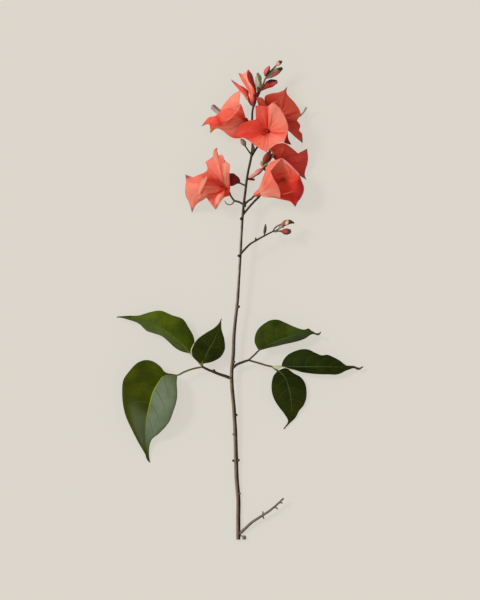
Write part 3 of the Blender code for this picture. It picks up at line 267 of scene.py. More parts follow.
class Finish:
    """A material under construction. Its shader is a Principled BSDF with the given gloss."""

    def __init__(self, name, gloss):
        self.material = bpy.data.materials.new(name)
        self.material.use_nodes = True
        self.tree = self.material.node_tree
        self.shader = self.tree.nodes["Principled BSDF"]
        self.shader.inputs["Specular IOR Level"].default_value = gloss

    def node(self, kind, settings=None, sockets=None, output=0):
        """Any node: its settings are set first, then its sockets get values or links."""
        made = self.tree.nodes.new(kind)
        for setting, value in (settings or {}).items():
            if setting == "stops":
                self._set_stops(made.color_ramp.elements, value)
            else:
                setattr(made, setting, value)
        for key, value in (sockets or {}).items():
            self._plug(made.inputs[key], value)
        return Wire(self, made.outputs[output])

    def _set_stops(self, stops, wanted):
        while len(stops) < len(wanted):
            stops.new(0.5)
        for stop, (position, colour) in zip(stops, wanted):
            stop.position = position
            stop.color = linear(colour)

    def _plug(self, socket, value):
        if isinstance(value, Wire):
            self.tree.links.new(value.socket, socket)
        else:
            socket.default_value = value

    def set(self, **sockets):
        """Fill sockets of the shader: base_color=..., roughness=... and so on."""
        for key, value in sockets.items():
            self._plug(self.shader.inputs[key.replace("_", " ").title()], value)

    def maths(self, operation, *terms):
        """A Math node on one or two terms, such as SINE or ADD."""
        return self.node("ShaderNodeMath", {"operation": operation}, dict(enumerate(terms)))

    def painted(self, label):
        """A value that was painted on the mesh."""
        return self.node("ShaderNodeAttribute", {"attribute_name": label}, output=2)

    def blade(self):
        """The two texture coordinates of a sheet: across it, and out from its root."""
        parts = {"Vector": self.node("ShaderNodeUVMap", {"uv_map": "blade"})}
        return (self.node("ShaderNodeSeparateXYZ", sockets=parts, output=0),
                self.node("ShaderNodeSeparateXYZ", sockets=parts, output=1))

    def spot(self):
        """Where a point of the piece lies, in metres."""
        return self.node("ShaderNodeTexCoord", output=3)

    def cloud(self, size_mm, detail=3.0, stretch=None):
        """A noise from 0 to 1, with clouds of the given size."""
        where = self.spot()
        if stretch:
            where = self.node("ShaderNodeVectorMath", {"operation": "MULTIPLY"},
                              {0: where, 1: stretch})
        return self.node("ShaderNodeTexNoise", sockets={
            "Vector": where, "Scale": 1000 / size_mm, "Detail": detail})

    def net(self, cells, line):
        """A net of fine veins with so many cells to a metre: 1 on a vein, 0 beside it."""
        edge = self.node("ShaderNodeTexVoronoi", {"feature": "DISTANCE_TO_EDGE"},
                         {"Vector": self.spot(), "Scale": cells})
        return self.step(edge, 0.0, line, 1.0, 0.0)

    def step(self, value, low, high, to_low=0.0, to_high=1.0):
        """A soft step from to_low to to_high as the value goes from low to high."""
        return self.node("ShaderNodeMapRange", {"interpolation_type": "SMOOTHSTEP"}, {
            "Value": value, "From Min": low, "From Max": high,
            "To Min": to_low, "To Max": to_high})

    def ramp(self, value, stops):
        """A colour from a row of stops, each a position and a screen colour."""
        return self.node("ShaderNodeValToRGB", {"stops": stops}, {"Fac": value})

    def mix(self, share, first, second, how="MIX"):
        """A colour between two others."""
        first = first if isinstance(first, Wire) else linear(first)
        second = second if isinstance(second, Wire) else linear(second)
        return self.node("ShaderNodeMix", {"data_type": "RGBA", "blend_type": how},
                         {0: share, 6: first, 7: second}, output=2)

    def relief(self, height, depth_mm, strength=1.0):
        """A bump of the given depth, for the shader's normal."""
        return self.node("ShaderNodeBump", sockets={
            "Height": height, "Distance": depth_mm / 1000, "Strength": strength})


print("finishes are made by Finish()")

# %% [markdown]
# ## The paper of the bracts
#
# What looks like a petal here is a bract, a leaf that turned red: thin as tissue, with a net
# of fine veins. The deep value painted on each sheet picks the red from a ramp. It holds the
# pigment and painted shade together: the red deepens toward the throat, partly as pigment and
# partly as painted shade, and folds add painted shade beside them and painted highlights on
# some rims. Fine veins fan out with the texture coordinates, and a cell pattern gives the net
# between them. A little light goes through the sheet, so some of it is scattered below the
# surface. Tips dry out first and turn mauve grey.

# %% Bract paper
# The orange and red papers are darker copies of the salmon red: painted half shade for the two
# blooms that lie behind the others.
REDS = {
    "bract_salmon": [(0, (248, 164, 142)), (0.3, (236, 122, 102)), (0.6, (225, 76, 58)),
                     (0.85, (208, 48, 36)), (1, (150, 26, 23))],
    "bract_orange": [(0, (226, 112, 84)), (0.3, (200, 84, 64)), (0.6, (184, 60, 42)),
                     (0.85, (154, 33, 22)), (1, (124, 22, 18))],
    "bract_red": [(0, (222, 92, 70)), (0.3, (200, 70, 50)), (0.6, (178, 50, 42)),
                  (0.85, (158, 44, 38)), (1, (128, 28, 26))],
}
DRY_TIP = (122, 92, 98)
WORN_RIM = (150, 92, 92)
VEIN_FAN = 14.0
PAPER_CELLS = 720.0


def bract_paper(name, reds, through=0.25):
    """Papery bract: its red follows the painted depth, pigment and painted shade in one, and light
    passes through a little.
    """
    paper = Finish(name, 0.2)
    across, out = paper.blade()
    fan = abs(paper.maths("SINE", (across + paper.cloud(6.0, 2.0) * 0.5) * VEIN_FAN))
    vein = paper.step(fan, 0.0, 0.22, 1.0, 0.0)
    net = paper.net(PAPER_CELLS, 0.09)
    blotch = paper.cloud(9.0, 4.0)
    # The painted deep value is pigment and painted shade in one; the throat adds painted shade,
    # partly pigment, near the root.
    deep = paper.painted("deep") + (blotch - 0.5) * 0.18 + vein * 0.06 + net * 0.02
    throat_red_and_shade = paper.step(out, 0.0, 0.16, 0.3, 0.0)
    red = paper.ramp(deep + throat_red_and_shade + (paper.cloud(0.5, 2.0) - 0.5) * 0.05, reds)
    worn = paper.mix(paper.step(out, 0.965, 1.0) * 0.35, red, WORN_RIM)
    dry = paper.step(paper.painted("dry") + (blotch - 0.5) * 0.2, 0.12, 0.75)
    paper.set(base_color=paper.mix(dry, worn, DRY_TIP))
    paper.set(roughness=0.6 + (blotch - 0.5) * 0.2)
    paper.set(normal=paper.relief(vein * 0.6 + net * 0.35 + blotch * 0.8, 0.12, 0.6))
    paper.set(subsurface_weight=through, subsurface_radius=(1.0, 0.3, 0.2),
              subsurface_scale=0.0012)
    return paper.material


PAPERS = {slot: bract_paper(slot.replace("bract_", "") + "_paper", reds)
          for slot, reds in REDS.items()}
print("bract papers:", ", ".join(PAPERS))

# %% [markdown]
# ## The blooms
#
# Each bloom is one or two sheets that grow from a short neck. A sheet is drawn by lines that
# start on a small circle round the neck and run out to the rim: a rib where the paper bends
# smoothly, and a tip where it is creased or runs out to a point. Along each line goes a list
# of deep values, from 0 for pale salmon to 1 for wine red. They hold painted shade as well as
# the pigment: higher inside the funnels and on the sides turned from the light. The lines are
# those of the solid model, so the paper sits where the solid is. A ring of lines closes into a
# funnel, and a fan stays open.

# %% Ribs, tips and folds
ROW_STEPS = 14
COLUMN_STEPS = 10
PLEAT = 0.22
CRUMPLE = 0.35
NECK_RADII = [0.95, 1.4, 1.9, 1.7]
BLOOMS = {}


def rib(deep, *points, dry=0.0, sharp=False):
    """A line where the sheet is smooth: deep values, then points from the root outward."""
    return {"deep": deep, "points": points, "sharp": sharp, "dry": dry}


def tip(deep, *points, dry=0.0):
    """A line where the sheet is creased, to a point, a notch or a fold."""
    return rib(deep, *points, dry=dry, sharp=True)


def fold(deep, left, right, *line, rise=0.0, ribs=None):
    """A line across a sheet, seen from above, where the paper is folded, with painted shade beside
    it when deep is above 0 and a painted highlight along it when deep is below 0.

    The change fades out over so many mm to the left and to the right of the line. With ribs,
    it stays between two of the sheet's lines."""
    return {"deep": deep, "left": left, "right": right, "line": line, "rise": rise,
            "ribs": ribs}


def bloom(name, *root, slot="bract_salmon", radii=NECK_RADII):
    """Begin a bloom with its neck, which follows the root from the twig up."""
    BLOOMS[name] = {"root": root, "slot": slot, "radii": radii, "sheets": []}


def sheet_of(name, form, middle, radius, *lines):
    """A sheet of a bloom: lines from a circle of the given radius round the middle."""
    BLOOMS[name]["sheets"].append((form, middle, radius, lines))


def folds_of(name, *folds):
    """The folds of a bloom, on all its sheets."""
    BLOOMS[name]["folds"] = folds
    lines = sum(len(drawn[-1]) for drawn in BLOOMS[name]["sheets"])
    print(name, "has", lines, "lines and", len(folds), "folds")


print("a bloom comes from bloom(), sheet_of() and folds_of()")

# %% Left bloom
bloom("bloom_left", (-8.1, 276.6, 12.6), (-9.2, 278.2, 12.3), (-11.2, 280.6, 13.8),
      (-12, 281.4, 15.6))
sheet_of(
    "bloom_left", "ring", (-11.6, 281, 15.2), 1.45,
    rib((0.4, 0.2), (-10, 286, 21.5), (-8.5, 294, 25.5)),
    tip((0.4, 0.15), (-10.5, 289, 24), (-7.9, 299.7, 28)),
    rib((0.4, 0.2), (-12, 291, 26), (-12.9, 304.5, 27)),
    rib((0.35, 0.2), (-13, 292, 26.5), (-14.3, 307.6, 26)),
    rib((0.35, 0.2), (-14, 293, 27.2), (-16.6, 307.4, 26.6)),
    tip((0.45, 0.25, 0.2), (-14.6, 292, 27.4), (-17.6, 304.5, 27.2), (-18.6, 311.4, 25.4),
        dry=0.5),
    rib((0.4, 0.25), (-15.6, 291.5, 26), (-21.4, 306.8, 26)),
    tip((0.5, 0.25), (-17.4, 290, 24), (-27.6, 302.2, 25)),
    rib((0.6, 0.35), (-18, 288, 21.5), (-25.9, 296.8, 24)),
    rib((0.6, 0.5, 0.4, 0.4), (-19.6, 286.6, 20.5), (-26, 289.6, 26), (-31, 291, 27.5),
        (-35, 291, 27)),
    rib((0.6, 0.5, 0.35, 0.3), (-20.2, 285.8, 20.5), (-28, 288, 27.4), (-33, 289.2, 27.6),
        (-37, 290.2, 26.2)),
    tip((0.55, 0.45, 0.35, 0.3), (-20.4, 285, 20.5), (-30, 286.2, 28.5), (-38, 286.6, 26),
        (-43.5, 292, 25), dry=1),
    rib((0.5, 0.4, 0.25, 0.25), (-20.6, 284.5, 20.5), (-30.8, 284.6, 29), (-38.8, 285, 25),
        (-43, 286.6, 22)),
    rib((0.45, 0.35, 0.22, 0.22), (-20.6, 284, 20.5), (-31, 283, 29.5), (-40, 283, 24.5),
        (-43.7, 281, 18)),
    rib((0.45, 0.35, 0.22, 0.22), (-20.6, 282.5, 20.5), (-30.5, 280.5, 29), (-38.4, 278, 23),
        (-43.4, 276, 13)),
    rib((0.45, 0.35, 0.22, 0.22), (-20.4, 281, 20), (-30, 278, 28), (-37.4, 273.4, 17),
        (-40.6, 269.8, 7)),
    tip((0.45, 0.35, 0.22, 0.2), (-20, 279.5, 20), (-29, 275.8, 27), (-35.8, 270.4, 15),
        (-38.4, 262.2, 0.5), dry=0.8),
    rib((0.45, 0.4, 0.3, 0.25), (-19.5, 278.2, 20), (-27.4, 275.4, 24), (-31.8, 272.8, 19.4),
        (-34.8, 268.8, 12)),
    rib((0.5, 0.45, 0.4, 0.35), (-19, 277.6, 19.4), (-25.4, 276, 21.4), (-28, 274.2, 19.4),
        (-30, 271.6, 15.2)),
    rib((0.55, 0.4), (-18.5, 276.6, 18.4), (-26.6, 273.4, 17.4)),
    rib((0.5, 0.35), (-17, 275.4, 18.6), (-24.6, 270.8, 18.4)),
    tip((0.45, 0.3, 0.3), (-15, 274.8, 19.5), (-18.4, 269.4, 19.5), (-19.5, 264.4, 15), dry=0.5),
    rib((0.3, 0.15), (-13.6, 275.2, 17.5), (-15.3, 271, 15.5)),
    rib((0.8, 0.7), (-12.4, 276.2, 15.6), (-12.4, 274.2, 13.5)),
    tip((0.9, 0.9), (-10.6, 277.4, 15), (-8.8, 275.2, 14)),
    rib((0.9, 0.85), (-8.9, 280, 16.4), (-7.9, 280.4, 16.6)),
)
folds_of(
    "bloom_left",
    fold(0.22, 2.4, 0, (-20, 308.6), (-18.2, 303.7), (-16.5, 297.8), (-15.2, 292.7),
         (-13.4, 285.3), rise=0.3),
    fold(-0.15, 0, 1.4, (-20, 308.6), (-18.2, 303.7), (-16.5, 297.8), (-15.2, 292.7),
         (-13.4, 285.3)),
    fold(-0.2, 3.5, 0, (-12.9, 303.7), (-13.4, 296.4), (-13.2, 289), (-12.1, 282.8)),
    fold(0.22, 3.4, 3.4, (-12.6, 282.4), (-19, 286.8), (-26.4, 288.4)),
    fold(0.22, 0.8, 0.8, (-12.6, 281.6), (-20, 283.6), (-29.5, 284.2), rise=-0.25),
    fold(0.14, 0.8, 0.8, (-12.6, 281), (-20, 281), (-29, 280.2), rise=-0.2),
    fold(0.25, 0.9, 0.9, (-12.6, 280.4), (-18.4, 277.4), (-27.4, 276.2), rise=-0.3),
    fold(0.3, 3.2, 0, (-26.2, 290.6), (-28.6, 285.8), (-30.8, 280.6), (-32, 276.6), ribs=(9, 18)),
    fold(0.22, 1.2, 0.5, (-32.3, 277.3), (-35.6, 272.5), (-37.4, 267), rise=-0.3),
    fold(0.3, 0, 2.5, (-13.2, 279.5), (-18, 275.8), (-20, 272), (-21, 267.4)),
    fold(-0.45, 2.2, 2.2, (-15.4, 277.2), (-17.8, 273.6), (-17.4, 268)),
)

# %% Upper left bloom
bloom("bloom_upper_left", (7.8, 330.2, 14.6), (7, 332, 14.2), (5.4, 334.6, 14.6), (4.4, 336.4, 16))
sheet_of(
    "bloom_upper_left", "fan", (5, 335.6, 15.4), 1.45,
    rib((0.6, 0.3, 0.2), (3.4, 341, 18.5), (0.6, 347, 20.3), (-1.1, 352, 19.5)),
    tip((0.5, 0.2, 0.15), (2.2, 342, 18), (-2.2, 350.4, 18.4), (0.6, 359.6, 16)),
    rib((0.5, 0.2, 0.15), (1, 342, 17), (-3.8, 349.4, 17.2), (-4.4, 357.2, 14)),
    rib((0.5, 0.25, 0.2), (-0.4, 341, 16.5), (-6, 346.4, 16), (-10.3, 351.4, 12.5)),
    rib((0.5, 0.25, 0.2), (-2, 339.6, 15.5), (-9, 343, 14.5), (-15.6, 343.8, 11)),
    rib((0.6, 0.3, 0.2), (-2.4, 337.6, 15), (-9, 338.6, 13.5), (-15.4, 338.6, 11.5)),
)
sheet_of(
    "bloom_upper_left", "fan", (4.8, 335.2, 16), 1.45,
    rib((0.5, 0.45), (3.4, 341, 23), (0.6, 348.5, 25.5)),
    rib((0.5, 0.3), (2, 341.4, 24.5), (-3.6, 346.4, 27)),
    rib((0.5, 0.45, 0.45), (0.4, 340.8, 25.5), (-5, 342.8, 27.6), (-13.6, 344, 23)),
    rib((0.5, 0.5, 0.55), (-0.6, 339.8, 26), (-8, 340.4, 28), (-19.5, 339.2, 20)),
    rib((0.6, 0.45, 0.5, 0.5), (-1.2, 339.2, 26.2), (-9, 339, 28.2), (-20, 338.4, 21),
        (-26.4, 336.6, 16.5)),
    tip((0.6, 0.45, 0.55, 0.5), (-1.6, 338.8, 26.4), (-10, 337.6, 28.4), (-22, 336, 20),
        (-30.6, 331, 13), dry=0.7),
    rib((0.5, 0.45, 0.65, 0.6), (-2.4, 337.6, 26.6), (-10.8, 334.8, 28.4), (-18, 333, 24),
        (-24.6, 332.4, 18)),
    tip((0.5, 0.35, 0.5, 0.45), (-2.2, 336, 24.5), (-11, 332.6, 26), (-19.4, 331.2, 21),
        (-23.7, 325.6, 14), dry=0.6),
    rib((0.4, 0.28, 0.35), (-1.4, 334.4, 21.5), (-9, 330, 21.5), (-19, 329.2, 18)),
    rib((0.4, 0.28, 0.35), (-0.4, 332.8, 19), (-6, 328.6, 19), (-14.4, 327.8, 17)),
    rib((0.5, 0.45, 0.5), (1.2, 331.2, 17), (-2, 326.8, 17), (-8, 322.8, 15)),
    rib((0.6, 0.6, 0.65), (2.8, 330.4, 15.6), (0.6, 326, 15.6), (-4, 321.4, 14)),
    rib((0.7, 0.6, 0.6), (4.4, 330.2, 14.6), (3.2, 326, 14.8), (1, 321.6, 13.5)),
)
folds_of(
    "bloom_upper_left",
    fold(-0.35, 0.5, 0.9, (1.2, 349.5), (-2.2, 342.8), (-6.8, 337.8), (-12.7, 332.9)),
    fold(0.2, 5.5, 0, (1.2, 349.5), (-2.2, 342.8), (-6.8, 337.8), (-12.7, 332.9), rise=0.4),
    fold(0.15, 4.5, 0, (5.6, 335.6), (3, 341.6), (1.9, 348.4)),
    fold(0.1, 1, 2.2, (4.6, 335.4), (0.6, 338.2), (-3.4, 339.4)),
    fold(0.28, 2.8, 2.8, (-18.4, 339), (-16.6, 334.6), (-14.6, 330.6)),
    fold(0.25, 0.7, 0.7, (-10, 343.9), (-7.6, 344.3), (-5.4, 343.6)),
)

# %% Center bloom
bloom("bloom_center", (18.6, 321.4, 14.4), (19.6, 323, 14.3), (21.4, 325.6, 16.4),
      (22.2, 326.6, 22.2))
sheet_of(
    "bloom_center", "ring", (22.2, 326.6, 21), 1.45,
    rib((0.55, 0.4, 0.35), (31, 327, 28), (38.5, 328, 30)),
    rib((0.4, 0.3, 0.25), (30, 331.4, 28.5), (37.2, 334.6, 32)),
    rib((0.35, 0.25, 0.2), (28.4, 335, 29), (33.6, 341.8, 33.5)),
    rib((0.35, 0.25, 0.2), (27, 337, 29.5), (30.8, 345.9, 34.5)),
    rib((0.35, 0.25, 0.15), (25.6, 337.4, 30), (26.2, 349, 35.8)),
    rib((0.45, 0.3, 0.2), (23.8, 337.4, 29.5), (23.4, 347.2, 33.5)),
    tip((0.8, 0.65, 0.5), (22.6, 337, 26.5), (21.6, 346.4, 29)),
    rib((0.6, 0.5, 0.45), (20, 336.6, 27), (16.8, 346.8, 30.5)),
    tip((0.65, 0.55, 0.5), (17.4, 336, 27.5), (12.2, 347, 32)),
    tip((0.75, 0.65, 0.6), (15.6, 333.4, 26.5), (12.8, 335.9, 28.5)),
    rib((0.75, 0.7, 0.65), (13.6, 331, 26.5), (6, 334.6, 28.5)),
    rib((0.8, 0.7, 0.7), (12.6, 329, 26), (0.8, 331.8, 28)),
    tip((0.8, 0.65, 0.65), (12.4, 326.8, 26), (3, 325.6, 28.5), (-3.6, 322, 26.5), dry=0.3),
    rib((0.75, 0.65, 0.65), (13.6, 324.4, 26.2), (5, 320.4, 28)),
    rib((0.65, 0.5, 0.45), (16, 321.6, 27.5), (10.6, 316.2, 30)),
    rib((0.55, 0.35, 0.35), (18.6, 320, 28.5), (16.6, 312.2, 31.5)),
    tip((0.5, 0.35, 0.35), (20.8, 319.4, 29), (21, 309.8, 32)),
    rib((0.45, 0.25, 0.25), (23.4, 319.6, 28.5), (25.6, 313.8, 31.5)),
    rib((0.4, 0.2, 0.2), (26.2, 320.4, 28), (30.6, 317.2, 31)),
    tip((0.45, 0.2, 0.2), (28.8, 321.8, 27.5), (35.2, 318.2, 31)),
    rib((0.55, 0.4, 0.4), (30.6, 324.2, 27.5), (37, 322.6, 30)),
)
folds_of(
    "bloom_center",
    fold(0.22, 0.8, 0.8, (21.9, 347), (21.7, 341), (21.8, 334), (22.2, 329)),
    fold(0.1, 0, 3.5, (21.9, 347), (21.7, 341), (21.8, 334), (22.2, 329)),
    fold(0.14, 1.6, 0, (12.6, 336.4), (16, 333.4), (20.4, 329.2), rise=-0.3),
    fold(0.2, 0, 3.5, (20.4, 325), (15, 323), (9.4, 321), (4, 319.8)),
    fold(0.16, 0.6, 0.6, (21, 323.6), (17.6, 318.6), (14.2, 314.8), rise=-0.25),
    fold(0.14, 0.6, 0.6, (21.6, 323.2), (19.8, 317.6), (18.4, 312), rise=-0.25),
    fold(0.14, 0.6, 0.6, (22.4, 323.2), (22.6, 317.6), (22.4, 312), rise=-0.25),
    fold(0.14, 0.6, 0.6, (23, 323.6), (25.2, 319.2), (27.2, 316), rise=-0.25),
    fold(0.12, 0.6, 0.6, (23.8, 324.4), (28, 321.6), (33, 319.4), rise=-0.25),
    fold(0.22, 0, 2.6, (24.4, 326.2), (30, 325.8), (37.4, 326.4), rise=-0.2),
    fold(-0.2, 1.6, 0, (24.4, 326.4), (30, 326), (37.4, 326.6)),
    fold(0.16, 1.1, 1.1, (23.6, 329.4), (25, 335), (25.2, 341), rise=-0.2),
    fold(0.3, 2.4, 2.4, (19, 325.6), (21.6, 326.6), (24.6, 327)),
)

# %% Upper right bloom
# Its orange paper is a darker, browner copy of the salmon red: painted half shade.
bloom("bloom_upper_right", (22.8, 336, 10.2), (24.8, 336.2, 9.8), (27, 335.6, 10.2),
      (28.4, 335, 11.4), slot="bract_orange")
sheet_of(
    "bloom_upper_right", "fan", (27.8, 335.2, 11), 1.45,
    rib((0.9, 0.6), (24.6, 340.6, 14.5), (14.6, 347.2, 21.5)),
    tip((0.9, 0.5, 0.35), (24.2, 342, 15), (16.8, 348.4, 20), (13.2, 353.9, 22)),
    rib((0.9, 0.5, 0.35), (24.8, 342.6, 15.4), (18.6, 348.4, 19.5), (17, 353.6, 22)),
    tip((0.9, 0.95), (26, 343.8, 16), (19.6, 349.6, 18)),
    rib((0.8, 0.65), (27, 345.4, 16.5), (20.2, 355, 20)),
    rib((0.65, 0.55), (28.8, 346.2, 17), (25, 357, 19.5)),
    rib((0.5, 0.4), (30.6, 346.4, 17), (31, 358, 18.5)),
    rib((0.45, 0.35), (32, 346.2, 17), (34.9, 359.6, 17)),
    tip((0.45, 0.3, 0.3), (33, 345.8, 17), (35.8, 355, 17), (37.4, 362.6, 13.5), dry=0.6),
    rib((0.55, 0.45), (34.2, 345, 16.5), (38, 356, 15)),
    rib((0.45, 0.4), (35.8, 343.4, 16), (43.8, 349.8, 12.5)),
    rib((0.5, 0.4), (37, 341, 15.5), (48.4, 341.4, 10)),
    tip((0.7, 0.5), (37.2, 338.2, 14.5), (45.6, 335.7, 11)),
    rib((0.75, 0.65), (37, 336, 14), (48.2, 331.6, 9.5)),
    rib((0.7, 0.6), (36.6, 333.4, 13.6), (47.4, 327.6, 9)),
    rib((0.7, 0.6, 0.55), (36.4, 332.4, 13.4), (44.4, 327.2, 10), (49.8, 324.4, 8)),
    tip((0.7, 0.6, 0.5), (36, 331.6, 13.2), (45.4, 325, 9.4), (50.2, 317.6, 5.5), dry=1),
    rib((0.7, 0.6, 0.5), (35.6, 330.8, 13), (41.6, 326.8, 11.4), (44.6, 322, 9)),
    rib((0.9, 0.85), (34.6, 329.8, 13), (38.4, 327, 12)),
    rib((0.9, 0.85), (33.4, 328.8, 12.6), (38.6, 321.6, 11)),
    tip((0.9, 0.85), (32.4, 328.4, 12.4), (41.2, 316.2, 9)),
    rib((0.9, 0.85), (31.2, 328.4, 12.2), (36.2, 317.6, 10)),
    rib((0.9, 0.85), (29.6, 328.6, 12), (31.6, 322, 10.5)),
)
folds_of(
    "bloom_upper_right",
    fold(0.3, 1.6, 0.4, (37.2, 361), (35.4, 355), (34.5, 350), (34.6, 344), rise=-0.3),
    fold(-0.15, 0, 2.4, (37.2, 361), (35.4, 355), (34.5, 350), (34.6, 344)),
    fold(0.2, 1.2, 0.4, (27.6, 352.4), (29.6, 348.6), (31.6, 345.6), rise=-0.3),
    fold(0.3, 0, 3.2, (48, 342), (42, 340), (36.2, 337.5), rise=-0.3),
    fold(0.2, 0.8, 0.8, (46.4, 336), (41, 334.6), (37.6, 333.6), rise=-0.3),
    fold(-0.25, 0.9, 0.9, (20.6, 355), (26, 356.8), (32, 357.4), (35.6, 359)),
)

# %% Right back bloom
# Its red paper is a still darker copy of the salmon red: painted half shade.
bloom("bloom_right_back", (22.8, 303.8, 10.4), (23.6, 305.4, 10.3), (25, 307, 10.4),
      (26.2, 307.8, 11), slot="bract_red")
sheet_of(
    "bloom_right_back", "fan", (25.8, 307.4, 10.8), 1.45,
    rib((-0.1, 0.25), (25.4, 310.6, 12.6), (24.9, 313.5, 13)),
    rib((-0.15, 0.2), (27, 311, 14), (28, 316, 15.2)),
    rib((-0.1, 0.25), (29.2, 310.8, 15.4), (32.7, 317.4, 15.2)),
    rib((0, 0.32), (31.6, 310.2, 15.8), (36.4, 317, 14.5)),
    rib((0.25, 0.38), (33, 309.4, 15.8), (41, 313.8, 13.5)),
    tip((0.25, 0.4, 0.45), (34.2, 308.4, 15.6), (41.6, 308.6, 13.4), (46.6, 309.2, 10.7)),
    tip((0.35, 0.55, 0.5), (36, 306, 13.2), (47.4, 303.8, 10.8), (53.6, 313.2, 8.4), dry=0.6),
    rib((0.4, 0.55, 0.6), (36.2, 305, 12.8), (46.4, 302.4, 11), (54.4, 306, 7)),
    rib((0.45, 0.6, 0.65), (36, 303.8, 12.4), (45.2, 300.8, 10), (53.9, 301.4, 6)),
    rib((0.45, 0.6, 0.65), (35.8, 302.6, 12), (45, 298.2, 9), (51.8, 292.6, 3)),
    tip((0.65, 0.75, 0.75), (35.4, 301.6, 11.6), (44.4, 296.4, 8), (53.2, 288.4, 0.5), dry=1),
    rib((0.65, 0.75, 0.8), (34.6, 301, 11), (42, 296, 8), (48.2, 291.4, 4)),
    rib((0.7, 0.8), (33, 300.4, 10.4), (40, 294.4, 8)),
    rib((0.7, 0.8), (29.6, 301.6, 10), (33, 297, 8.5)),
)
folds_of(
    "bloom_right_back",
    fold(0.15, 0, 4, (29.6, 304), (32.7, 307.7), (35.8, 313.6), rise=0.4),
    fold(-0.3, 4.5, 0, (29.6, 304), (32.7, 307.7), (35.8, 313.6)),
    fold(0.2, 1.4, 1.4, (36, 306.6), (41.6, 307.4), (46.8, 309), rise=-0.3),
    fold(-0.1, 1.2, 1.2, (38, 305), (44, 304), (51, 308)),
)

# %% Right front bloom
bloom("bloom_right_front", (11.5, 275.7, 15), (12.4, 276.2, 15.2), (14.2, 277.2, 15.6),
      (16.2, 278.3, 16.2), radii=[1.4, 2.1, 2.5, 2.4])
sheet_of(
    "bloom_right_front", "ring", (13.1, 276.8, 15.4), 3.45,
    rib((0.05, 0.2, 0.2), (20.4, 274.4, 19), (26.6, 275.2, 24), (32.2, 273.8, 26)),
    rib((0, 0.2, 0.2), (20.6, 277, 22), (26.8, 278.4, 29), (32.1, 277.6, 30)),
    rib((0, 0.3, 0.35), (20, 280, 24.5), (25.4, 283.2, 32.5), (30.3, 283, 34.5)),
    rib((0, 0.3, 0.35), (18.8, 283, 25.5), (23, 287.4, 33), (26.6, 289, 36)),
    tip((0, 0.3, 0.3), (18.4, 285, 24.5), (22.2, 291.4, 32), (24.4, 294.6, 35.5)),
    rib((0.05, 0.3, 0.3), (17.6, 285.6, 22.5), (21.6, 295.4, 29.5), (28, 299.4, 32)),
    tip((0.5, 0.4, 0.3, 0.3), (16.6, 284.6, 20), (19.2, 291.6, 24), (23.8, 301.4, 27.5),
        (33.6, 305.4, 27)),
    rib((0.7, 0.7, 0.45, 0.3), (17.8, 283.6, 17), (24, 292.6, 19.5), (31, 299.6, 23),
        (37.3, 302.6, 25.5)),
    rib((0.7, 0.6, 0.5, 0.3), (18.8, 282.4, 15), (28, 289, 16.5), (38, 294, 20.5),
        (42.4, 297.6, 24.5)),
    rib((0.7, 0.6, 0.6, 0.55), (19.6, 281.2, 13.8), (30, 286, 14.5), (41, 289.8, 19),
        (47.2, 292.6, 23)),
    rib((0.65, 0.5, 0.6, 1.05), (20, 280.2, 13.2), (31, 283, 13.6), (42, 285.6, 18),
        (48.8, 288.2, 22), dry=0.05),
    rib((0.5, 0.38, 0.7, 1.1), (20.2, 279, 12.8), (31, 280.8, 13.2), (43, 281.4, 17),
        (51.2, 280.8, 21), dry=0.05),
    rib((0.5, 0.38, 0.75, 1.05), (20.2, 278, 12.6), (30.4, 278.4, 13.2), (41, 276.4, 16),
        (48, 272.6, 18.5), dry=0.05),
    rib((0.5, 0.45, 0.72, 0.9), (20.2, 277, 12.6), (30, 276.6, 13.4), (40.4, 274, 15),
        (46.2, 270.4, 16.5), dry=0.25),
    tip((0.55, 0.5, 0.75, 0.9), (20, 276.4, 12.8), (29.4, 275.4, 13.8), (40, 272.6, 15.4),
        (44.3, 266.4, 13), dry=0.5),
    rib((0.6, 0.7, 0.8, 0.85), (20, 275.6, 13.6), (28.2, 274.6, 15), (36.4, 272, 17),
        (41.6, 270.2, 17)),
    rib((0.4, 0.5, 0.6), (20, 274.4, 16), (27, 274.2, 18.8), (33.4, 272.8, 20.5)),
)
folds_of(
    "bloom_right_front",
    fold(-0.45, 1.2, 1.6, (34, 304.6), (40, 300), (45.4, 295), (48.4, 290.6), ribs=(6.2, 11)),
    fold(0.2, 1.6, 0.5, (36.6, 300.4), (39.4, 296.4), (40.4, 291.6), rise=-0.3, ribs=(6.2, 16)),
    fold(0.18, 1.6, 0.5, (28, 291), (33.6, 292.4), (38.6, 293.4), rise=-0.3, ribs=(6.2, 16)),
    fold(-0.15, 1.2, 1.2, (38.4, 287), (42.6, 287.6), (47.4, 289.6), ribs=(6.2, 16)),
    fold(-0.8, 0.8, 0.8, (33.4, 276.4), (37.4, 277.2), (43, 279), ribs=(6.2, 16)),
    fold(0.25, 0, 0.9, (32.4, 275.8), (37.4, 276.6), (43, 278.4), ribs=(6.2, 16)),
    fold(-0.25, 0.5, 1.2, (31.9, 275), (37.6, 272.8), (43.5, 269), ribs=(6.2, 16)),
    fold(0.12, 0.8, 0.8, (19, 279.6), (23.6, 284), (26.6, 287.6), rise=-0.2, ribs=(0, 5)),
    fold(0.14, 0.8, 0.8, (18.6, 282), (21.6, 288.6), (24.6, 296), rise=-0.2, ribs=(0, 6)),
    fold(-0.2, 1.2, 1.2, (24.8, 294.8), (28, 299.6), (32.6, 304.6), ribs=(0, 6)),
)

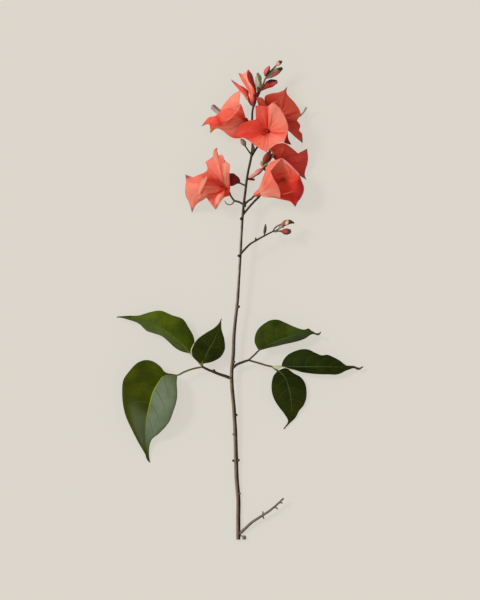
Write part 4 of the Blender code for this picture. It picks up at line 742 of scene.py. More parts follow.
# %% Folded top bract
bloom("top_bract_folded", (10.9, 346.4, 18), (10.7, 350, 19.8), (10.3, 354, 21.4),
      (9.8, 357.6, 22.6), radii=[0.7, 2.2, 2.7, 2.3, 1.2])
sheet_of(
    "top_bract_folded", "fan", (10.5, 350.4, 20), 3.4,
    rib((0.5, 0.35, 0.35), (7.6, 356.4, 21.8), (5, 361.8, 21.6), (1.6, 366.6, 21.6)),
    tip((0.5, 0.35, 0.35), (8.2, 357.4, 22.8), (4.2, 365.4, 22.8), (-1.2, 373.2, 21), dry=0.6),
    rib((0.4, 0.15, 0.1), (9, 358, 24), (6, 366.2, 24.8), (2.6, 372.4, 24.2)),
    rib((0.4, 0.15, 0.15), (9.8, 358, 24.6), (7.4, 366.6, 26), (4.8, 373.8, 25.6)),
    tip((0.45, 0.35, 0.35), (10.8, 357.8, 24.6), (8.9, 365.6, 26.4), (6.6, 376, 24.6), dry=0.5),
    rib((0.9, 1.02, 0.9), (12, 357.2, 23.2), (11.2, 363.4, 23.6), (9.4, 372, 22)),
    rib((0.95, 1, 0.9), (12.9, 356.6, 21.6), (12.9, 360, 21), (11.6, 365.2, 20.6)),
)
folds_of(
    "top_bract_folded",
    fold(0.95, 9, 0, (6.2, 375.4), (5.6, 371.8), (6.7, 367.3), (8.5, 364.4), (11.6, 360)),
    fold(-0.2, 0, 1.2, (6, 374), (5.4, 371.4), (6.5, 366.9), (8.3, 363.8), (11, 359.4)),
    fold(0.2, 0.8, 0.8, (3.4, 369), (6.2, 363.6), (8.6, 358.4), rise=-0.2),
)

# %% Narrow top bract
bloom("top_bract_narrow", (9.4, 347.6, 17.8), (8.7, 349, 18.2), (7, 352.6, 18.9),
      radii=[0.7, 1, 1.4, 1.2])
sheet_of(
    "top_bract_narrow", "fan", (9.2, 349.2, 17.9), 3.2,
    rib((0.6, 0.8), (7, 355, 18.4), (7, 358.8, 18.4)),
    rib((0.6, 0.6), (5.8, 356.4, 19.4), (3.6, 361.6, 20)),
    rib((0.5, 0.6, 0.55), (4.8, 356.6, 20.2), (1.4, 361, 20.8), (-1.4, 364.4, 20.8), dry=0.3),
    tip((0.35, 0.5, 0.65), (4.2, 356, 20.2), (-0.6, 361, 21), (-7.1, 368.2, 19.5), dry=1),
    rib((0.2, 0.25, 0.4), (3.8, 355.2, 19.6), (-0.4, 359.6, 19.8), (-4.2, 364, 19.4), dry=0.35),
    rib((0.2, 0.25), (4, 354.2, 18.8), (1, 357.6, 18.6)),
    rib((0.5, 0.9), (5.2, 352.6, 18), (4, 354.4, 17.8)),
)
folds_of(
    "top_bract_narrow",
    fold(0.5, 0.4, 1.2, (0.6, 363.4), (3.4, 361.6), (6.2, 359), (7.1, 355.4)),
    fold(-0.15, 0.8, 0.8, (-3.6, 365), (0.6, 361), (4.4, 356.6)),
)

# %% [markdown]
# ## From lines to paper
#
# The lines of one sheet need the same number of points, so that a row can be drawn from each
# to the next. Real paper is never even: shallow pleats run out from the throat, and the whole
# sheet is a little crumpled. Both are moves of the grid's points along the direction they
# face, strongest in the middle and nothing at the neck, so they also show at the rim.

# %% Folds
FOLD_FADE = 7.0


def beside(places, line):
    """How far each place lies to the left of a line, in mm, and how far along it, 0 to 1."""
    line = smooth(line, 5)
    starts, steps = line[:-1], np.diff(line, axis=0)
    reach = places[:, None] - starts
    share = np.clip((reach * steps).sum(2) / (steps ** 2).sum(1), 0, 1)
    gap = reach - steps * share[..., None]
    nearest = (gap ** 2).sum(2).argmin(1)
    row = np.arange(len(places))
    reach, step = reach[row, nearest], steps[nearest]
    left = np.sign(step[:, 0] * reach[:, 1] - step[:, 1] * reach[:, 0])
    far = np.hypot(*gap[row, nearest].T)
    return left * far, (nearest + share[row, nearest]) / len(steps)


def folded(points, across, folds):
    """The painted shade and highlights, and the height in mm, that the folds give each point of a
    sheet.

    A fold fades out over the first and the last seventh of its line."""
    shape = points.shape[:2]
    places = points[..., :2].reshape(-1, 2)
    tone, height = np.zeros(shape), np.zeros(shape)
    for crease in folds:
        aside, along = (part.reshape(shape) for part in beside(places, crease["line"]))
        ends = np.clip(np.minimum(along, 1 - along) * FOLD_FADE, 0, 1)
        if crease["ribs"]:
            first, last = crease["ribs"]
            ends = ends * ((across[:-1] >= first) & (across[:-1] <= last))
        width = np.where(aside > 0, crease["left"], crease["right"])
        tone += crease["deep"] * np.clip(1 - abs(aside) / np.maximum(width, 1e-3), 0, 1) * ends
        reach = max(crease["left"], crease["right"], 1.0)
        height += crease["rise"] * np.clip(1 - abs(aside) / reach, 0, 1) * ends
    return tone, height


print("folds are laid by folded()")

# %% Bract sheets
DRY_FROM, DRY_OVER = 0.72, 0.28
PLEATS_PER_LINE = 0.75
CRUMPLE_SIZE, FINE_SIZE = 7.0, 2.6
FINE_SHARE = 0.35


def sheet_grid(middle, radius, ribs, closed):
    """Points and painted values of one sheet, and its columns' texture coordinate."""
    middle = np.array(middle, float)
    most = max(len(r["points"]) for r in ribs)
    lines = []
    for r in ribs:
        first = np.array(r["points"][0], float)
        start = middle + (first - middle) / np.linalg.norm(first - middle) * radius
        line = np.array([start, *r["points"]], float)
        if len(r["points"]) < most:
            line = evenly(line, most)
        line = smooth(line, ROW_STEPS)
        out = np.linspace(0, 1, len(line))
        dry = r["dry"] * np.clip((out - DRY_FROM) / DRY_OVER, 0, 1) ** 1.5
        lines.append(np.column_stack([line, spread(r["deep"], out), dry]))
    corners = [i for i, r in enumerate(ribs) if r["sharp"]]
    grid = smooth(lines, COLUMN_STEPS, corners, closed).transpose(1, 0, 2)
    return grid, np.arange(grid.shape[1] + 1) / COLUMN_STEPS


def crumpled(points, across, seed):
    """Pleats that fan out from the throat, and an uneven surface."""
    rows = np.linspace(0, 1, len(points))[:, None]
    swell = np.sin(np.clip(rows * 1.25, 0, 1) * math.pi)
    pleats = np.sin(across[None, :-1] * 2 * math.pi * PLEATS_PER_LINE) * PLEAT * swell
    bumps = rough(points, CRUMPLE_SIZE, seed) * CRUMPLE
    bumps += rough(points, FINE_SIZE, seed + 5) * CRUMPLE * FINE_SHARE
    return pleats + bumps * np.clip(rows * 3, 0, 1)


def bract_sheet(name, form, middle, radius, ribs, folds, seed):
    """A sheet of paper: its grid, with its folds, pleats and crumples."""
    closed = form == "ring"
    grid, across = sheet_grid(middle, radius, ribs, closed)
    points = grid[..., :3]
    tone, rise = folded(points, across, folds)
    facing = normals(points, closed)
    facing *= np.sign(facing[..., 2].sum())
    height = crumpled(points, across, seed) + rise
    # The folds' painted shade and highlights are added to the deep values of the lines.
    return sheet_object(name, points + facing * height[..., None], across, closed,
                        {"deep": grid[..., 3] + tone, "dry": grid[..., 4]})


for seed, (name, parts) in enumerate(BLOOMS.items()):
    for number, drawn in enumerate(parts["sheets"]):
        paper = bract_sheet(f"{name}_bracts_{number + 1}", *drawn, parts["folds"], seed * 3.7)
        hand_in(paper, name, parts["slot"], PAPERS[parts["slot"]])
        print(paper.name, len(paper.data.polygons), "faces")

# %% [markdown]
# ## Rolled edges and curls
#
# Papery bracts dry unevenly, so here and there an edge rolls up or a tip curls like a finger.
# Such a piece follows a path of its own. Each point of the path has a half width, and the
# strip arches over it like half a straw. Cut as separate strips, the curls stay thin and their
# shadows fall on the sheet below.

# %% Curls
STRIP_THICKNESS = 0.2
STRIP_ROUND = 1.3


def strip_grid(path, half_widths, arch, rows=26, columns=9):
    """A narrow arched strip along a path, as a grid of points."""
    line = evenly(path, rows)
    half = spread(half_widths, np.linspace(0, 1, rows + 1))
    ahead = unit(np.gradient(line[:, :2], axis=0))
    turn = np.linspace(-1, 1, columns)
    aside = half[:, None] * np.sin(turn * STRIP_ROUND) / math.sin(STRIP_ROUND)
    grid = np.repeat(line[:, None], columns, 1)
    grid[..., 0] += ahead[:, 1:] * aside
    grid[..., 1] -= ahead[:, :1] * aside
    grid[..., 2] += arch * np.cos(turn * math.pi / 2) * (half / half.max())[:, None]
    return grid


def strip_piece(name, node, slot, finish, grid, painted=None):
    """A thin strip on a grid of points, handed in for its node."""
    across = np.linspace(0, 2, grid.shape[1] + 1)
    strip = sheet_object(name, grid, across, False, painted, STRIP_THICKNESS)
    return hand_in(strip, node, slot, finish)


def curl(name, node, path, half_widths, arch, deep, dry=0.0):
    """A curled strip of bract paper. deep runs along the strip, from its start to its end."""
    grid = strip_grid(path, half_widths, arch)
    along = np.linspace(0, 1, len(grid))[:, None] * np.ones(grid.shape[1])
    painted = {"deep": spread(deep, along), "dry": dry * np.clip(along * 4 - 3, 0, 1)}
    slot = BLOOMS[node]["slot"]
    return strip_piece(name, node, slot, PAPERS[slot], grid, painted)


CURLS = {
    "bloom_left": [
        ([(-17.2, 298.6, 27.2), (-18.8, 303.8, 27.4), (-19.8, 308.4, 27.6), (-19.4, 311.4, 27),
          (-18.5, 313.2, 26)], [0.2, 1, 1.8, 1.8, 1.5, 0.4], 0.5, (0.25, 0.15, 0.15, 0.2, 0.5),
         0.5),
        ([(-13, 301.8, 27.8), (-13.9, 305, 28), (-15.4, 307.8, 27.2)], [0.4, 1.1, 0.6], 0.4,
         (0.2, 0.3, 0.2), 0),
        ([(-25.8, 291.4, 29.4), (-28, 287.6, 30.4), (-30, 283.6, 31), (-31.8, 279.4, 30.4),
          (-33.2, 275.4, 28.6)], [0.2, 1.4, 1.6, 1.2, 0.2], 0.5, (0.2, 0.12, 0.12, 0.2), 0),
        ([(-29.2, 290.2, 28.8), (-30.6, 287, 29.8), (-32, 283.6, 30)], [0.3, 0.8, 0.3], 0.5,
         (0.3, 0.2, 0.25), 0),
    ],
    "bloom_upper_right": [
        ([(26.2, 347.6, 21.6), (27, 349.4, 22), (29.2, 350.2, 21.6)], [0.5, 0.6, 0.3], 0.4,
         (0.5, 0, 0.1), 0),
    ],
}
for name, curls in CURLS.items():
    for number, shape in enumerate(curls):
        curl(f"{name}_curl_{number + 1}", name, *shape)
print("curls:", sum(len(curls) for curls in CURLS.values()))

# %% [markdown]
# ## Round bodies: stalks, necks and buds
#
# Twigs, necks and buds are round, so each is a tube along a smooth path with a radius that
# changes along it. A curve with a bevel could do that. A mesh tube also takes ridges round
# it, closes into rounded ends and carries the same two texture coordinates as a sheet.

# %% A tube with ridges and round ends
SOFTENING = [0.1, 0.2, 0.4, 0.2, 0.1]
ROUND_END = ((0.6, 0.8), (1, 0.35))


def tube_points(path, radii, rows, sides, ridges=0, ridge=0.0, uneven=0.0, seed=0.0,
                ends=(0.6, 0.6)):
    """Rings of points along a path, with ridges along it.

    Two smaller rings round each end off. They lie so many radii further out and are so many
    times as wide as the last one. ends scales how far out they lie."""
    line = evenly(path, rows)
    widths = spread(radii, np.linspace(0, 1, rows + 1))
    widths = np.convolve(np.pad(widths, 2, "edge"), SOFTENING, "valid")
    ahead = unit(np.gradient(line, axis=0))
    side = np.cross(ahead[0], (0, 0, 1))
    side = side / np.linalg.norm(side) if np.linalg.norm(side) > 0.1 else np.array([1.0, 0, 0])
    around = 2 * math.pi * (np.arange(sides) + 0.5) / sides
    bulge = 1 + ridge * np.cos(around * ridges)
    rings = []
    for k in range(rows + 1):
        side = side - ahead[k] * side.dot(ahead[k])
        side = side / np.linalg.norm(side)
        top = np.cross(side, ahead[k])
        ring = np.outer(np.sin(around), side) - np.outer(np.cos(around), top)
        rings.append(line[k] + ring * widths[k] * bulge[:, None])
    rings = np.array(rings)
    if uneven:
        rings += normals(rings, True) * rough(rings, 1.6, seed)[..., None] * -uneven
    head = [line[0] - ahead[0] * widths[0] * ends[0] * far + (rings[0] - line[0]) * wide
            for far, wide in reversed(ROUND_END)]
    tail = [line[-1] + ahead[-1] * widths[-1] * ends[1] * far + (rings[-1] - line[-1]) * wide
            for far, wide in ROUND_END]
    return np.array(head + list(rings) + tail)


def closed_faces(rows, sides):
    """The faces of a body on rings of points, with a cap at each end."""
    faces, corners = quads(rows, sides, True, np.arange(sides + 1) / sides)
    last = (rows - 1) * sides
    faces += [tuple(range(sides))[::-1], tuple(range(last, last + sides))]
    return faces, corners + [(0.5, 0.0)] * sides + [(0.5, 1.0)] * sides


def round_piece(name, node, slot, finish, rings):
    """A closed body on rings of points, with its faces turned outward, for its node."""
    body = new_object(name, rings, *closed_faces(*rings.shape[:2]))
    mesh = body.data
    volume = sum(mesh.vertices[f.vertices[0]].co.dot(f.normal) * f.area for f in mesh.polygons)
    if volume < 0:
        mesh.flip_normals()
    return hand_in(body, node, slot, finish)


print("round bodies are made by round_piece()")

# %% [markdown]
# ## Skins of the buds, the necks and the florets
#
# A bud is a bract that has not opened, so it has the same reds, only darker, greyer or
# greener. Each bud has its own row of colours from its foot to its tip, and a second row for
# its shaded side. A fine down, drawn as a noise, breaks both up, and the same noise makes the
# relief.

# %% Bud skins
def bud_skin(name, lit, shaded, turn=0.7, lean=0.0):
    """A skin with painted light: a row of colours for the lit side at the turn, and a row for the
    shaded far side.

    The turn goes round the bud: 0 below, 0.25 to the right, 0.5 on top, 0.75 to the left.
    A lean above 0 gives the first row more than half of the round."""
    skin = Finish(name, 0.15)
    around, out = skin.blade()
    down = skin.cloud(0.45)
    blotch = skin.cloud(1.8)
    along = out + (blotch - 0.5) * 0.14
    # Painted light and shade: the lit row where the skin faces the turn, the shaded row on the far
    # side.
    facing = skin.maths("COSINE", (around - turn) * (2 * math.pi))
    share = skin.step(facing + (blotch - 0.5) * 0.7 + lean, -0.25, 0.25)
    colour = skin.mix(share, skin.ramp(along, shaded), skin.ramp(along, lit))
    streak = skin.step(down, 0.35, 0.75, 0.84, 1.1)
    shade = skin.node("ShaderNodeCombineColor", sockets={0: streak, 1: streak, 2: streak})
    skin.set(base_color=skin.mix(0.8, colour, shade, "MULTIPLY"))
    skin.set(roughness=0.65 + (blotch - 0.5) * 0.2)
    skin.set(normal=skin.relief(down + blotch * 1.5, 0.1, 0.6))
    return skin.material


# Each neck has a row of colours for its lit side and a darker row for its painted shaded side.
DARK_NECK = (
    [(0, (46, 30, 24)), (0.4, (120, 36, 28)), (1, (170, 50, 38))],
    [(0, (30, 20, 16)), (1, (120, 28, 24))]
)
NECKS = {
    "bloom_right_front": (
        [(0, (216, 100, 84)), (0.3, (238, 124, 106)), (1, (238, 126, 108))],
        [(0, (110, 44, 34)), (0.5, (190, 76, 60)), (1, (206, 84, 68))]),
    "top_bract_folded": (
        [(0, (92, 34, 30)), (0.35, (170, 66, 60)), (0.7, (230, 116, 100)), (1, (236, 122, 106))],
        [(0, (60, 22, 20)), (0.5, (120, 32, 28)), (1, (136, 28, 28))]),
}
for name, parts in BLOOMS.items():
    skin = bud_skin(name + "_neck_skin", *NECKS.get(name, DARK_NECK))
    round_piece(name + "_neck", name, parts["slot"], skin,
                tube_points(parts["root"], parts["radii"], 16, 20, 5, 0.05))
print("necks:", len(BLOOMS))

# %% [markdown]
# ## The buds
#
# Every bud is a tube that swells and closes to a blunt point. Three shallow ridges show where
# the closed bracts meet. The table gives, for each bud, its path and radii, its slot, how many
# ridges it has, the turn and the lean of its skin, and its two rows of colours: the lit side
# and the painted shaded side.

# %% Buds
BUDS = {
    "bud_dark_red": (
        [(-0.6, 285.8, 13), (-1.9, 287, 12), (-5.4, 287.9, 10.8), (-9, 288.2, 9.4),
         (-11.4, 288.4, 8.6)], [1, 3.5, 5.3, 4.9, 3.2], "bud_wine", 3, 0.45, 0.3,
        [(0, (84, 18, 18)), (0.3, (122, 26, 34)), (0.6, (96, 18, 24)), (1, (120, 30, 34))],
        [(0, (60, 14, 14)), (0.6, (128, 40, 40)), (1, (84, 16, 22))]),
    "bud_top_green": (
        [(14.8, 357.6, 19.6), (15.2, 361, 22.2), (14.7, 366.6, 24), (14.2, 372.8, 24)],
        [0.9, 2, 2.7, 2.4, 0.9], "bud_green", 3, 0.75, 0.4,
        [(0, (66, 62, 38)), (0.3, (140, 140, 104)), (0.45, (186, 176, 152)),
         (0.8, (178, 170, 156)), (1, (104, 112, 92))],
        [(0, (72, 68, 38)), (0.5, (122, 124, 84)), (1, (112, 118, 78))]),
    "bud_top_red": (
        [(17.6, 359.4, 19.4), (19.5, 361.4, 19.6), (22.4, 363.9, 19.5), (25.4, 365.3, 19.3),
         (29, 366.3, 19)], [0.4, 1.8, 3, 3.1, 1.6], "bud_red", 3, 0.27, -0.15,
        [(0, (214, 96, 92)), (0.3, (190, 52, 44)), (0.55, (176, 44, 32)), (0.8, (196, 84, 84)),
         (1, (160, 76, 78))],
        [(0, (206, 96, 96)), (0.4, (176, 60, 56)), (0.55, (62, 16, 12)), (0.9, (34, 10, 8)),
         (1, (60, 24, 22))]),
    "bud_top_upper_red": (
        [(20.1, 371.2, 20.8), (20.8, 373.2, 21.8), (22, 376, 22.4), (23.3, 378.3, 22.4)],
        [0.7, 2, 2.3, 1.9, 0.7], "bract_salmon", 3, 0.76, 0.35,
        [(0, (214, 90, 90)), (0.5, (222, 106, 106)), (0.85, (224, 116, 112)), (1, (130, 44, 40))],
        [(0, (52, 36, 12)), (0.5, (48, 28, 8)), (0.8, (96, 16, 14)), (1, (66, 20, 16))]),
    "bud_top_long": (
        [(20.9, 369.3, 18.3), (24.6, 371.7, 17.2), (28.8, 374.3, 16.8), (33.4, 377.2, 16.6)],
        [0.8, 2.2, 2.7, 2.4, 1.1], "bud_green", 3, 0.78, -0.1,
        [(0, (170, 164, 144)), (0.45, (178, 168, 148)), (0.68, (148, 152, 122)),
         (0.78, (58, 64, 34)), (1, (36, 38, 20))],
        [(0, (180, 164, 146)), (0.35, (176, 140, 116)), (0.48, (176, 94, 76)),
         (0.7, (162, 88, 70)), (0.78, (44, 52, 26)), (1, (36, 42, 20))]),
    "bud_tip": (
        [(28.9, 379.4, 20), (30.1, 380.5, 20.2), (31.7, 381.7, 20.3), (33.2, 382.5, 20.3)],
        [0.7, 1.6, 1.9, 1.6, 0.8], "bract_salmon", 3, 0.7, 0.6,
        [(0, (150, 110, 92)), (0.25, (226, 172, 152)), (0.55, (222, 160, 138)),
         (0.66, (90, 70, 54)), (1, (56, 44, 34))],
        [(0, (110, 80, 70)), (0.5, (140, 90, 76)), (0.66, (60, 46, 36)), (1, (44, 36, 28))]),
    "bud_olive": (
        [(4.2, 315.1, 17.9), (3.6, 316.2, 18.2), (2.6, 318, 18.6), (0.8, 320.6, 19)],
        [0.7, 1.7, 2.1, 1.7, 0.6], "bud_green", 3, 0.72, 0,
        [(0, (80, 72, 48)), (0.5, (148, 134, 106)), (1, (150, 142, 116))],
        [(0, (60, 52, 28)), (0.6, (140, 126, 82)), (1, (118, 110, 72))]),
    "side_bract_pink": (
        [(7.4, 289.7, 16.2), (10.2, 291.2, 16), (13.9, 293.9, 15.6), (18.2, 297.3, 14.8)],
        [0.6, 1.9, 1.6, 2.4, 1.9, 0.8], "bract_salmon", 2, 0.62, -0.15,
        [(0, (206, 144, 134)), (0.4, (228, 156, 144)), (0.65, (224, 136, 122)),
         (1, (204, 76, 58))],
        [(0, (120, 50, 46)), (0.5, (96, 26, 22)), (1, (74, 20, 16))]),
    "side_bud_orange": (
        [(19.2, 299.8, 12.4), (19.6, 302.4, 13.8), (20.6, 306, 15.4), (22.2, 309.8, 17)],
        [0.8, 1.7, 2.1, 1.8, 0.8], "bud_brown", 3, 0.75, 0.3,
        [(0, (84, 74, 36)), (0.3, (130, 84, 30)), (0.5, (176, 72, 36)), (0.75, (168, 74, 56)),
         (1, (150, 96, 104))],
        [(0, (48, 36, 18)), (0.5, (96, 42, 24)), (1, (70, 24, 20))]),
    "bud_twig_leaflet": (
        [(19.4, 244.2, 16.2), (19.7, 246.4, 17), (20.2, 249.4, 17.6), (20.4, 252.5, 17.6)],
        [0.4, 1.2, 1.35, 1.1, 0.4], "leaf", 2, 0.72, 0,
        [(0, (70, 72, 36)), (0.5, (88, 94, 42)), (1, (72, 76, 36))],
        [(0, (52, 54, 26)), (1, (48, 52, 24))]),
    "bud_twig_brown": (
        [(30.7, 248.6, 17.1), (33.2, 251.2, 17.6), (36.8, 253.8, 18), (40.2, 254.4, 18),
         (43.2, 253.5, 17.8)], [0.6, 1.4, 2.2, 1.8, 0.4], "bud_brown", 3, 0.7, 0.1,
        [(0, (110, 92, 62)), (0.4, (160, 108, 76)), (0.6, (132, 60, 38)), (0.8, (84, 40, 26)),
         (1, (30, 22, 16))],
        [(0, (76, 66, 46)), (0.5, (104, 46, 30)), (0.8, (50, 26, 18)), (1, (28, 20, 16))]),
    "bud_twig_red": (
        [(31, 247, 16.6), (33.4, 246.9, 16), (36.6, 246.7, 15.4), (39.8, 246.9, 15)],
        [0.4, 0.9, 2.3, 2.6, 1.8], "bud_red", 3, 0.68, 0.3,
        [(0, (110, 50, 36)), (0.35, (166, 72, 56)), (0.62, (176, 84, 68)), (0.8, (96, 66, 52)),
         (1, (82, 70, 56))],
        [(0, (60, 40, 26)), (0.6, (76, 44, 26)), (1, (56, 40, 24))]),
}
for seed, (name, (path, radii, slot, ridges, turn, lean, lit, shaded)) in enumerate(BUDS.items()):
    round_piece(name + "_skinned", name, slot, bud_skin(name + "_skin", lit, shaded, turn, lean),
                tube_points(path, radii, 24, 24, ridges, 0.07, 0.1, seed * 2.3))
print("buds:", len(BUDS))

# %% [markdown]
# ## Bud scales
#
# Small scales clasp the buds and sit where twigs fork. They are strips like the curls, only
# shorter and in other colours: the green scales of the top bud, a red brown husk beside the
# orange bud, thin green and lilac slips, and the pale scales on the bud twig. The table gives,
# for each scale, its node, its colour, its path, its half widths and how far it arches.

# %% Bud scales
SCALE_COLOURS = {
    "olive": ((108, 116, 70), (84, 90, 50)),
    "dark_olive": ((82, 78, 44), (62, 60, 34)),
    "grey": ((182, 174, 160), (158, 150, 136)),
    "beige": ((176, 158, 136), (140, 120, 98)),
    "husk": ((120, 48, 32), (86, 34, 22)),
    "pale": ((226, 208, 186), (206, 180, 156)),
    "lilac": ((178, 150, 156), (150, 118, 126)),
    "lime": ((196, 186, 126), (160, 150, 90)),
    "wine": ((120, 24, 36), (84, 14, 22)),
    "peach": ((246, 156, 130), (228, 110, 90)),
    "dusk": ((84, 50, 56), (60, 34, 38)),
}
SCALES = [
    ("bud_top_green", "olive", [(14.2, 372.6, 26), (15.7, 369.6, 26.4), (16, 365.2, 26)],
     [0.5, 1.35, 1.4, 0.3], 0.5),
    ("bud_top_green", "dark_olive", [(14, 364.6, 25.4), (15.2, 361.6, 24.4), (15.2, 358, 21.6)],
     [0.6, 1.5, 1.1], 0.5),
    ("top_bract_folded", "wine", [(12.3, 353.8, 21.2), (13.5, 355.6, 21.4), (14.5, 358, 21.2)],
     [0.8, 1.3, 0.7], 0.6),
    ("top_bract_folded", "peach", [(7.6, 354.4, 23.4), (8.8, 352.8, 23), (10, 350.8, 21.8)],
     [0.3, 0.75, 0.3], 0.3),
    ("side_bud_orange", "husk", [(24.6, 313.2, 18), (23.4, 309, 18.4), (22.2, 305, 17.4),
                                 (20.8, 301.4, 15.4)], [0.7, 1.3, 1.4, 0.6], 0.6),
    ("side_bud_orange", "pale", [(23.8, 312.4, 18.9), (24.6, 311.4, 18.9)], [0.3, 0.4, 0.3], 0.1),
    ("side_bud_orange", "pale", [(25.6, 310.4, 18.2), (26.1, 309.4, 18.2)], [0.3, 0.4, 0.3], 0.1),
    ("side_bud_orange", "lilac", [(27.2, 309.2, 16.6), (25.8, 306.4, 16.2), (24.1, 303.4, 15.2)],
     [0.25, 0.4, 0.3], 0.2),
    ("side_bud_orange", "lime", [(24.2, 303.4, 15), (21.4, 301, 15.4), (17.8, 297.7, 15.6)],
     [0.25, 0.35, 0.25], 0.2),
    ("side_bud_orange", "beige", [(17, 303.2, 14.2), (17.2, 301, 14.6), (18.4, 298.6, 14.6)],
     [0.3, 1, 0.8], 0.3),
    ("side_bud_orange", "olive", [(19.6, 300.6, 15.2), (20.8, 299.6, 15), (22, 298.4, 14.2)],
     [0.6, 0.9, 0.5], 0.3),
    ("side_bract_pink", "wine", [(7.4, 288.6, 15.4), (9.4, 288.4, 15.3), (11.8, 288.2, 15)],
     [0.5, 0.9, 0.7], 0.4),
    ("side_bract_pink", "dusk", [(18.8, 298.4, 13.8), (19.6, 297, 13.4), (20, 295.4, 12.8)],
     [0.6, 0.9, 0.5], 0.3),
    ("bud_twig_brown", "dark_olive", [(26.2, 247.4, 17), (28.4, 250, 17.6), (31, 251.8, 17.8),
                                      (33, 252.8, 17.8)], [0.3, 0.5, 0.45, 0.3], 0.2),
    ("bud_twig_brown", "lilac", [(31.4, 248.4, 18.4), (32.7, 250.2, 18.8), (33.9, 252, 18.8)],
     [0.4, 1, 0.5], 0.3),
    ("bud_twig_brown", "olive", [(34, 249.6, 18), (34.7, 251, 18.4)], [0.4, 0.6, 0.3], 0.2),
    ("bud_twig_brown", "pale", [(38.4, 255.6, 19.5), (37.5, 253.9, 20.2), (36.4, 252.1, 19.7)],
     [0.5, 1.35, 0.5], 0.5),
    ("bud_twig_red", "olive", [(27, 246.4, 17.2), (29.2, 246.9, 17.5), (31.6, 247.2, 17.4)],
     [0.4, 0.8, 0.4], 0.3),
    ("stem", "dark_olive", [(9.5, 316.6, 17.6), (10.7, 313.2, 17.7), (10.2, 309.4, 17.3)],
     [0.4, 1.25, 0.9, 0.4], 0.4),
    ("bloom_upper_left", "lime", [(-22.7, 331, 17.8), (-23.3, 328.4, 16.6), (-23.7, 325.7, 15)],
     [0.2, 0.5, 0.2], 0.2),
]


def scale_skin(name, bright, dull):
    """A dry scale: fine stripes along it in two tones."""
    skin = Finish(name, 0.15)
    across, out = skin.blade()
    grain = skin.cloud(0.6)
    stripe = abs(skin.maths("SINE", across * 9.0 + grain * 2.0))
    skin.set(base_color=skin.mix(stripe * 0.5 + grain * 0.5, dull, bright))
    skin.set(roughness=0.65 + (grain - 0.5) * 0.2)
    skin.set(normal=skin.relief(stripe + grain, 0.08, 0.5))
    return skin.material


scale_skins = {colour: scale_skin(colour + "_scale", *pair)
               for colour, pair in SCALE_COLOURS.items()}
slots = {"stem": "bark", **{name: parts["slot"] for name, parts in BLOOMS.items()},
         **{name: bud[2] for name, bud in BUDS.items()}}
for number, (node, colour, path, half_widths, arch) in enumerate(SCALES):
    strip_piece(f"{node}_scale_{number + 1}", node, slots[node], scale_skins[colour],
                strip_grid(path, half_widths, arch, 14, 7))
print("scales:", len(SCALES))

# %% [markdown]
# ## The florets
#
# The true flowers are small tubes among the bracts. One pale tube sticks out behind the upper
# left bloom, with reddish flecks and a blunt mouth. The others show as thin threads: a grey
# green one beside the upper right bloom, and red ones with a small head inside three blooms.

# %% Florets
# Each thread has a row of colours for its lit side and one for its painted shaded side.
THREADS = {
    "grey": (
        [(0, (160, 150, 138)), (0.5, (198, 190, 182)), (1, (172, 162, 156))],
        [(0, (112, 98, 84)), (0.5, (164, 118, 108)), (1, (120, 106, 102))]),
    "green": (
        [(0, (134, 134, 112)), (1, (156, 152, 138))],
        [(0, (110, 112, 88)), (1, (142, 138, 124))]),
    "red": (
        [(0, (226, 84, 66)), (0.8, (206, 70, 54)), (0.9, (124, 84, 44)), (1, (104, 84, 46))],
        [(0, (206, 68, 54)), (0.85, (186, 58, 44)), (1, (84, 52, 30))]),
    "salmon": (
        [(0, (160, 40, 30)), (0.4, (214, 84, 66)), (1, (200, 66, 52))],
        [(0, (130, 28, 22)), (1, (150, 36, 28))]),
}
FLORETS = {
    "floret_upper_left": (
        [(-11.6, 339.8, 9.6), (-15.4, 341.6, 8.4), (-18.8, 344.1, 8.2), (-21.8, 346.7, 8.6)],
        [1.8, 2.1, 2.15, 2.15], "floret", 5, "grey"),
    "floret_upper_right": (
        [(44.4, 337.2, 9.4), (48.2, 339.6, 8.4), (51.2, 342.8, 8), (53, 346, 8.6)],
        [0.7, 0.6, 0.55, 0.8], "floret", 0, "green"),
    "floret_front": (
        [(17.28, 278.3, 16.7), (24, 282, 17.6), (30.6, 285.6, 17.6), (35.2, 288.2, 18.6)],
        [0.5, 0.5, 0.5, 1.1], "bud_red", 0, "red"),
    "floret_center": (
        [(23, 327.2, 23.2), (21.4, 327.4, 25.6), (18.8, 326.3, 27.2), (17.6, 324.6, 27.8),
         (19.2, 323.8, 27.9), (21.2, 325, 27.2)], [0.5, 0.5, 0.45, 0.45, 0.4], "bud_red", 0,
        "salmon"),
    "floret_left": (
        [(-12.4, 282, 18.2), (-14.6, 284.4, 21.6), (-16.8, 286.8, 24.6), (-18.3, 288.1, 26.6)],
        [0.4, 0.4, 0.4, 0.6], "bud_red", 0, "salmon"),
}
thread_skins = {kind: bud_skin("floret_" + kind, *rows) for kind, rows in THREADS.items()}
for name, (path, radii, slot, ridges, kind) in FLORETS.items():
    round_piece(name + "_thread", name, slot, thread_skins[kind],
                tube_points(path, radii, 36, 16, ridges, 0.08, 0.06, 3.1))
print("florets:", len(FLORETS))

# %% [markdown]
# ## The leaves
#
# A leaf is drawn by three lines from its base to its tip: the left edge, the midrib and the
# right edge. The blade is creased along the midrib. Side veins leave the midrib and bend
# toward the tip. Between two of them the blade swells a little, and along them it sinks, so
# the light breaks up as on the real leaf. All of this is one height, worked out for every
# point of the grid, and the shader uses the same sum for the colour of the veins.

